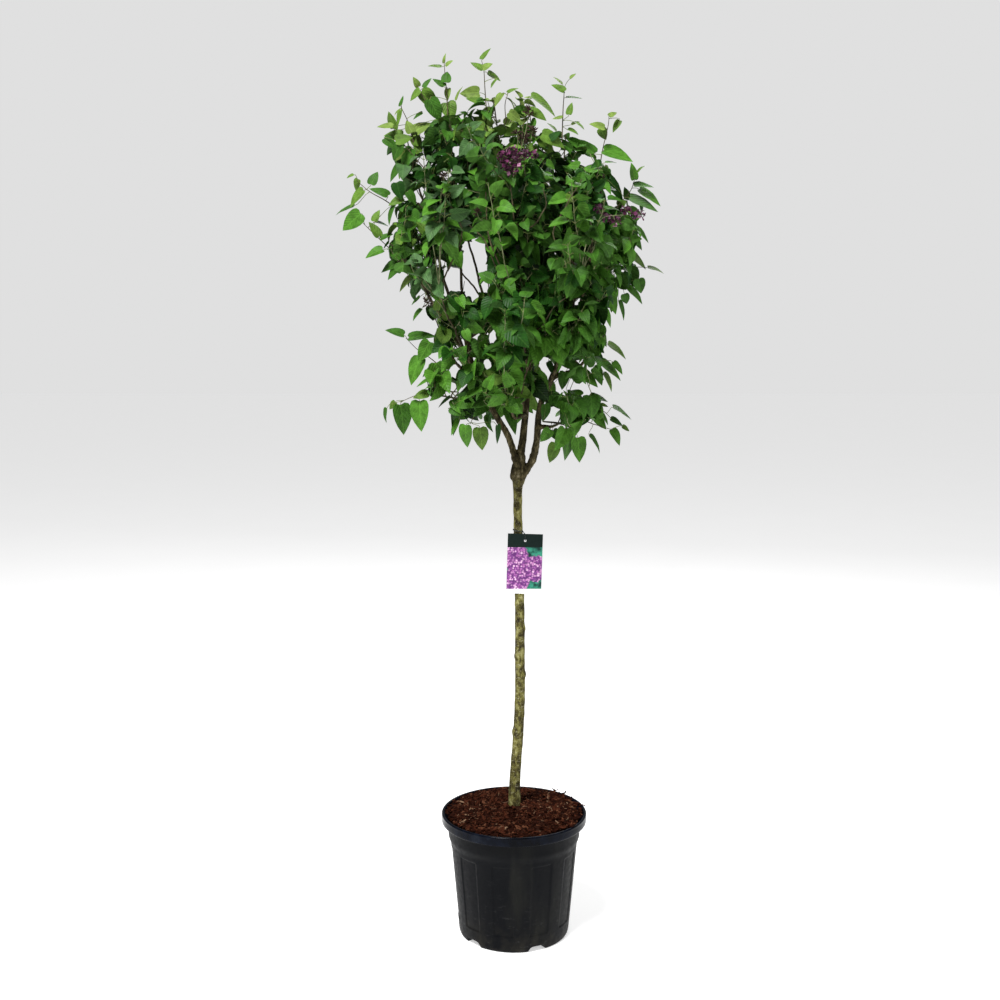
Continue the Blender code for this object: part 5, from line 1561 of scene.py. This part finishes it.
def make_leaves(tree):
    template, faces, finish = blade_template()
    uv_of = np.column_stack((template[:, 0] + 0.5, template[:, 1] * 0.9 + 0.06))
    loops = np.array([i for face in faces for i in face])
    for kind, (name, tone) in enumerate(TINTS):
        under = np.array(tone) * 0.80 + np.array((0.013, 0.022, 0.008))
        materials = [leaf_finish(name, tone), leaf_finish(name + "_under", under, True)]
        chosen = [leaf for leaf in tree.leaves if leaf["kind"] == kind]
        for first in range(0, len(chosen), PIECE_LEAVES):
            part = chosen[first:first + PIECE_LEAVES]
            body = Body()
            for leaf in part:
                body.add(shape_blade(template, leaf), faces, finish)
            obj = body.shown(f"{name}_leaves_{first // PIECE_LEAVES + 1}", materials, 50)
            layer = obj.data.uv_layers.new(name="blade")
            layer.data.foreach_set("uv", np.tile(uv_of[loops], (len(part), 1)).ravel())
            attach(obj, "root")
            if name == "leaf_green" and first == 0:
                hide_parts(*("foliage_" + n for n in MASSES))


def make_twigs(tree):
    body = Body()
    for line, radii in tree.shoots:
        body.add(*tube(line, radii, 6), 0 if radii[0] > OLD_TWIG_RADIUS else 1)
    obj = body.shown("twigs", [twig_finish(*tint) for tint in TWIG_TINTS], 60)
    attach(obj, "root")
    body = Body()
    for line in tree.stalks:
        radii = [STALK_RADIUS * 1.3, *[STALK_RADIUS] * (len(line) - 2), STALK_RADIUS * 0.5]
        body.add(*tube(line, radii, 3), 0)
    obj = body.shown("leaf_stalks", [twig_finish(*STALK_TINT)], 60)
    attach(obj, "root")


# Panicles: depth, stalk points (x, height), then clusters of florets (x, height, radius, florets). All places
# here and below are slid to the plane y = 0, in millimetres
PANICLES = (
    (-225, ((-2, 1552), (0, 1566), (6, 1580)),
     ((-24, 1584, 10, 13), (-16, 1566, 11, 13), (-5, 1590, 11, 14), (-4, 1572, 10, 12), (-8, 1554, 9, 10),
      (8, 1582, 10, 12), (7, 1562, 8, 8), (22, 1588, 8, 9), (37, 1586, 8, 9))),
    (-150, ((150, 1432), (172, 1464), (208, 1470), (246, 1471)),
     ((165, 1482, 9, 9), (178, 1466, 9, 10), (196, 1460, 11, 12), (218, 1479, 9, 10), (235, 1471, 7, 7),
      (247, 1472, 9, 9))),
)
SPENT = (  # withered heads: depth, x, height, radius, in millimetres
    (-190, 26, 1667, 10), (-205, 34, 1632, 11), (-205, 6, 1626, 11), (-120, -139, 1545, 9),
    (-60, -172, 1300, 12), (-190, -74, 1475, 8), (-205, 20, 1616, 10),
)
PETAL = np.array((  # across, along, up
    (0, 0, 0), (0.42, 0.55, 0.10), (0, 1.0, 0.02), (-0.42, 0.55, 0.10), (0, 0.5, 0.06), (0, 0.5, -0.06),
))
PETAL_FACES = [(0, 1, 4), (1, 2, 4), (2, 3, 4), (3, 0, 4), (1, 0, 5), (2, 1, 5), (3, 2, 5), (0, 3, 5)]
PETAL_LENGTH = 0.0048
BUD_SIDES = 5
OPEN_SHARE = 0.72  # of the florets
GOLDEN_TURN = 2.39996  # between one floret and the next round a cluster
CLUSTER_TESTS = 6  # sets of places in a cluster that leaves keep clear of
STALK_RADII = np.array((0.0008, 0.0006, 0.0005))
SPENT_SEEDS = 24
BLOSSOM_TINTS = (
    ("petal_dark", (0.014, 0.003, 0.008), (0.060, 0.009, 0.034)),
    ("petal_magenta", (0.040, 0.006, 0.026), (0.140, 0.022, 0.082)),
    # painted highlight: pale pink petals dealt at random among the florets
    ("petal_painted_highlight", (0.110, 0.030, 0.075), (0.400, 0.200, 0.300)),
    ("seed_head", (0.012, 0.006, 0.004), (0.055, 0.028, 0.018)),
)
# Shares of the dark, magenta and pale petals; the pale ones are painted highlights
PETAL_SHARES = (0.54, 0.34, 0.12)
SEED_TINT = 3


def floret(body, luck, base, middle):
    """One floret: its tube, and four spread petals or a closed bud."""
    out = unit(middle - base)
    body.add(*tube([base, middle - out * 0.004, middle], [0.0004, 0.0006, 0.0010], 4), 0)
    finish = pick(luck, PETAL_SHARES)
    if luck.random() > OPEN_SHARE:
        bud = [middle - out * 0.001, middle + out * 0.001, middle + out * 0.0030, middle + out * 0.0042]
        body.add(*tube(bud, [0.0008, 0.0016, 0.0014, 0.0003], BUD_SIDES), finish)
        return
    spin = luck.uniform(0, math.pi)
    for k in range(4):
        way = unit(quarter_turns(out, spin + k * math.pi / 2) + out * luck.uniform(0.05, 0.45))
        up = unit(out - way * (out @ way))
        side = np.cross(way, up)
        size = PETAL_LENGTH * luck.uniform(0.85, 1.15)
        petal = PETAL[:, :1] * side * 1.1 + PETAL[:, 1:2] * way + PETAL[:, 2:] * up
        body.add(middle + size * petal, PETAL_FACES, finish)


def make_blossom(tree):
    luck = random.Random(SEED + 9)
    body = Body()
    for depth, stalk, clusters in PANICLES:
        knots = [from_front(x, z, depth) for x, z in stalk]
        start, heading = tree.nearest(knots[0], None)
        lead_in = bend(start, unit(heading + unit(knots[0] - start)), knots[0], unit(knots[1] - knots[0]), 8)
        line = [*lead_in[:-1], *spline(knots, 5)]
        tree.shoots.append((line, np.linspace(TWIG_RADIUS, TWIG_TIP_RADIUS, len(line))))
        for x, z, radius, count in clusters:
            middle = from_front(x, z, depth)
            tree.crown.open_before(x, z, radius, depth)
            joint, heading = tree.nearest(middle, [spline(knots, 5)])
            if np.linalg.norm(middle - joint) > 0.004:
                tree.shoots.append(([joint, (joint + middle) / 2 + UP * 0.001, middle], STALK_RADII))
            for i in range(count):
                turn, lift = i * GOLDEN_TURN, 1 - 2 * (i + 0.5) / count
                level = math.sqrt(1 - lift * lift)
                way = np.array((math.cos(turn) * level, math.sin(turn) * level, lift))
                floret(body, luck, middle, middle + way * radius / 1000 * luck.uniform(0.7, 1.05))
            for _ in range(CLUSTER_TESTS):
                spread = np.array([luck.uniform(-1, 1) for _ in range(3)])
                places = SAMPLES[:, :1] * spread + SAMPLES[:, 1:] * spread[::-1]
                tree.crown.keep(middle + places * radius / 1000)
    for depth, x, z, radius in SPENT:
        middle = from_front(x, z, depth)
        tree.crown.open_before(x, z, radius * 0.85, depth)
        start, heading = tree.nearest(middle - UP * 0.02, None)
        line = bend(start, unit(heading + unit(middle - start)), middle, UP, 8)
        tree.shoots.append((line, np.linspace(TWIG_RADIUS, TWIG_TIP_RADIUS, len(line))))
        for _ in range(SPENT_SEEDS):
            way = unit(stray(luck, 1) + UP * 0.4)
            tip = middle + way * radius / 1000 * luck.uniform(0.5, 1.1)
            seed = [middle, (middle + tip) / 2, tip - way * 0.0025, tip, tip + way * 0.0022]
            body.add(*tube(seed, [0.0004, 0.0004, 0.0009, 0.0013, 0.0003], 4), SEED_TINT)
    obj = body.shown("blossom", [petal_finish(*tint) for tint in BLOSSOM_TINTS], 60)
    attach(obj, "root")


def make_stage():
    corners = [(FLOOR_HALF * x, FLOOR_HALF * y, 0) for x, y in ((-1, -1), (1, -1), (1, 1), (-1, 1))]
    paper = plain_finish("floor_paper", (0.80, 0.80, 0.80), 0.9, 0.01, 3.0)
    floor = new_object("floor", corners, [(0, 1, 2, 3)], [paper], smooth_deg=0)
    paper = floor.data.materials[0].node_tree.nodes["Principled BSDF"]
    paper.inputs["Emission Color"].default_value = (1.0, 1.0, 1.0, 1.0)
    paper.inputs["Emission Strength"].default_value = FLOOR_GLOW
    world = bpy.data.worlds.new("studio")
    bpy.context.scene.world = world
    world.use_nodes = True
    nodes, links = world.node_tree.nodes, world.node_tree.links
    nodes["Background"].inputs["Color"].default_value = (1.0, 1.0, 1.0, 1.0)
    seen = nodes.new("ShaderNodeLightPath").outputs["Is Camera Ray"]
    strength = nodes.new("ShaderNodeMapRange")
    strength.inputs["To Min"].default_value = WORLD_LIGHT
    strength.inputs["To Max"].default_value = BACKGROUND
    links.new(seen, strength.inputs["Value"])
    links.new(strength.outputs["Result"], nodes["Background"].inputs["Strength"])
    for name, place, width, power in LAMPS:
        lamp = bpy.data.lights.new(name, "AREA")
        lamp.size = width
        lamp.energy = power
        obj = bpy.data.objects.new(name, lamp)
        bpy.context.scene.collection.objects.link(obj)
        obj.location = place
        obj.rotation_euler = (Vector(LAMP_AIM) - Vector(place)).to_track_quat("-Z", "Y").to_euler()
    camera = bpy.data.cameras.new("camera")
    camera.lens = CAMERA_LENS
    obj = bpy.data.objects.new("camera", camera)
    bpy.context.scene.collection.objects.link(obj)
    obj.location = CAMERA_PLACE
    obj.rotation_euler = (math.radians(90 - CAMERA_PITCH_DEG), 0, 0)
    bpy.context.scene.camera = obj
    bpy.context.scene.view_settings.view_transform = "Standard"


def dress_label():
    low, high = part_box("label")
    elastic = plain_finish("elastic", (0.008, 0.014, 0.011), 0.6, 0.3, 900.0)
    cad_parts["label"].material_slots[0].material = label_finish(low, high)
    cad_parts["label_loop"].material_slots[0].material = elastic


def main():
    make_stage()
    make_pot()
    make_soil()
    make_mulch()
    lines = wood_lines()
    make_wood(lines)
    tree = Tree(lines)
    for x, height, radius in BOUGH_VIEWS:
        tree.crown.open_before(x, height, radius, BOUGH_DEPTH)
    tree.outer_sprays()
    tree.bare_shoots()
    make_blossom(tree)
    tree.grow()
    tree.fringe()
    make_leaves(tree)
    make_twigs(tree)
    dress_label()


main()
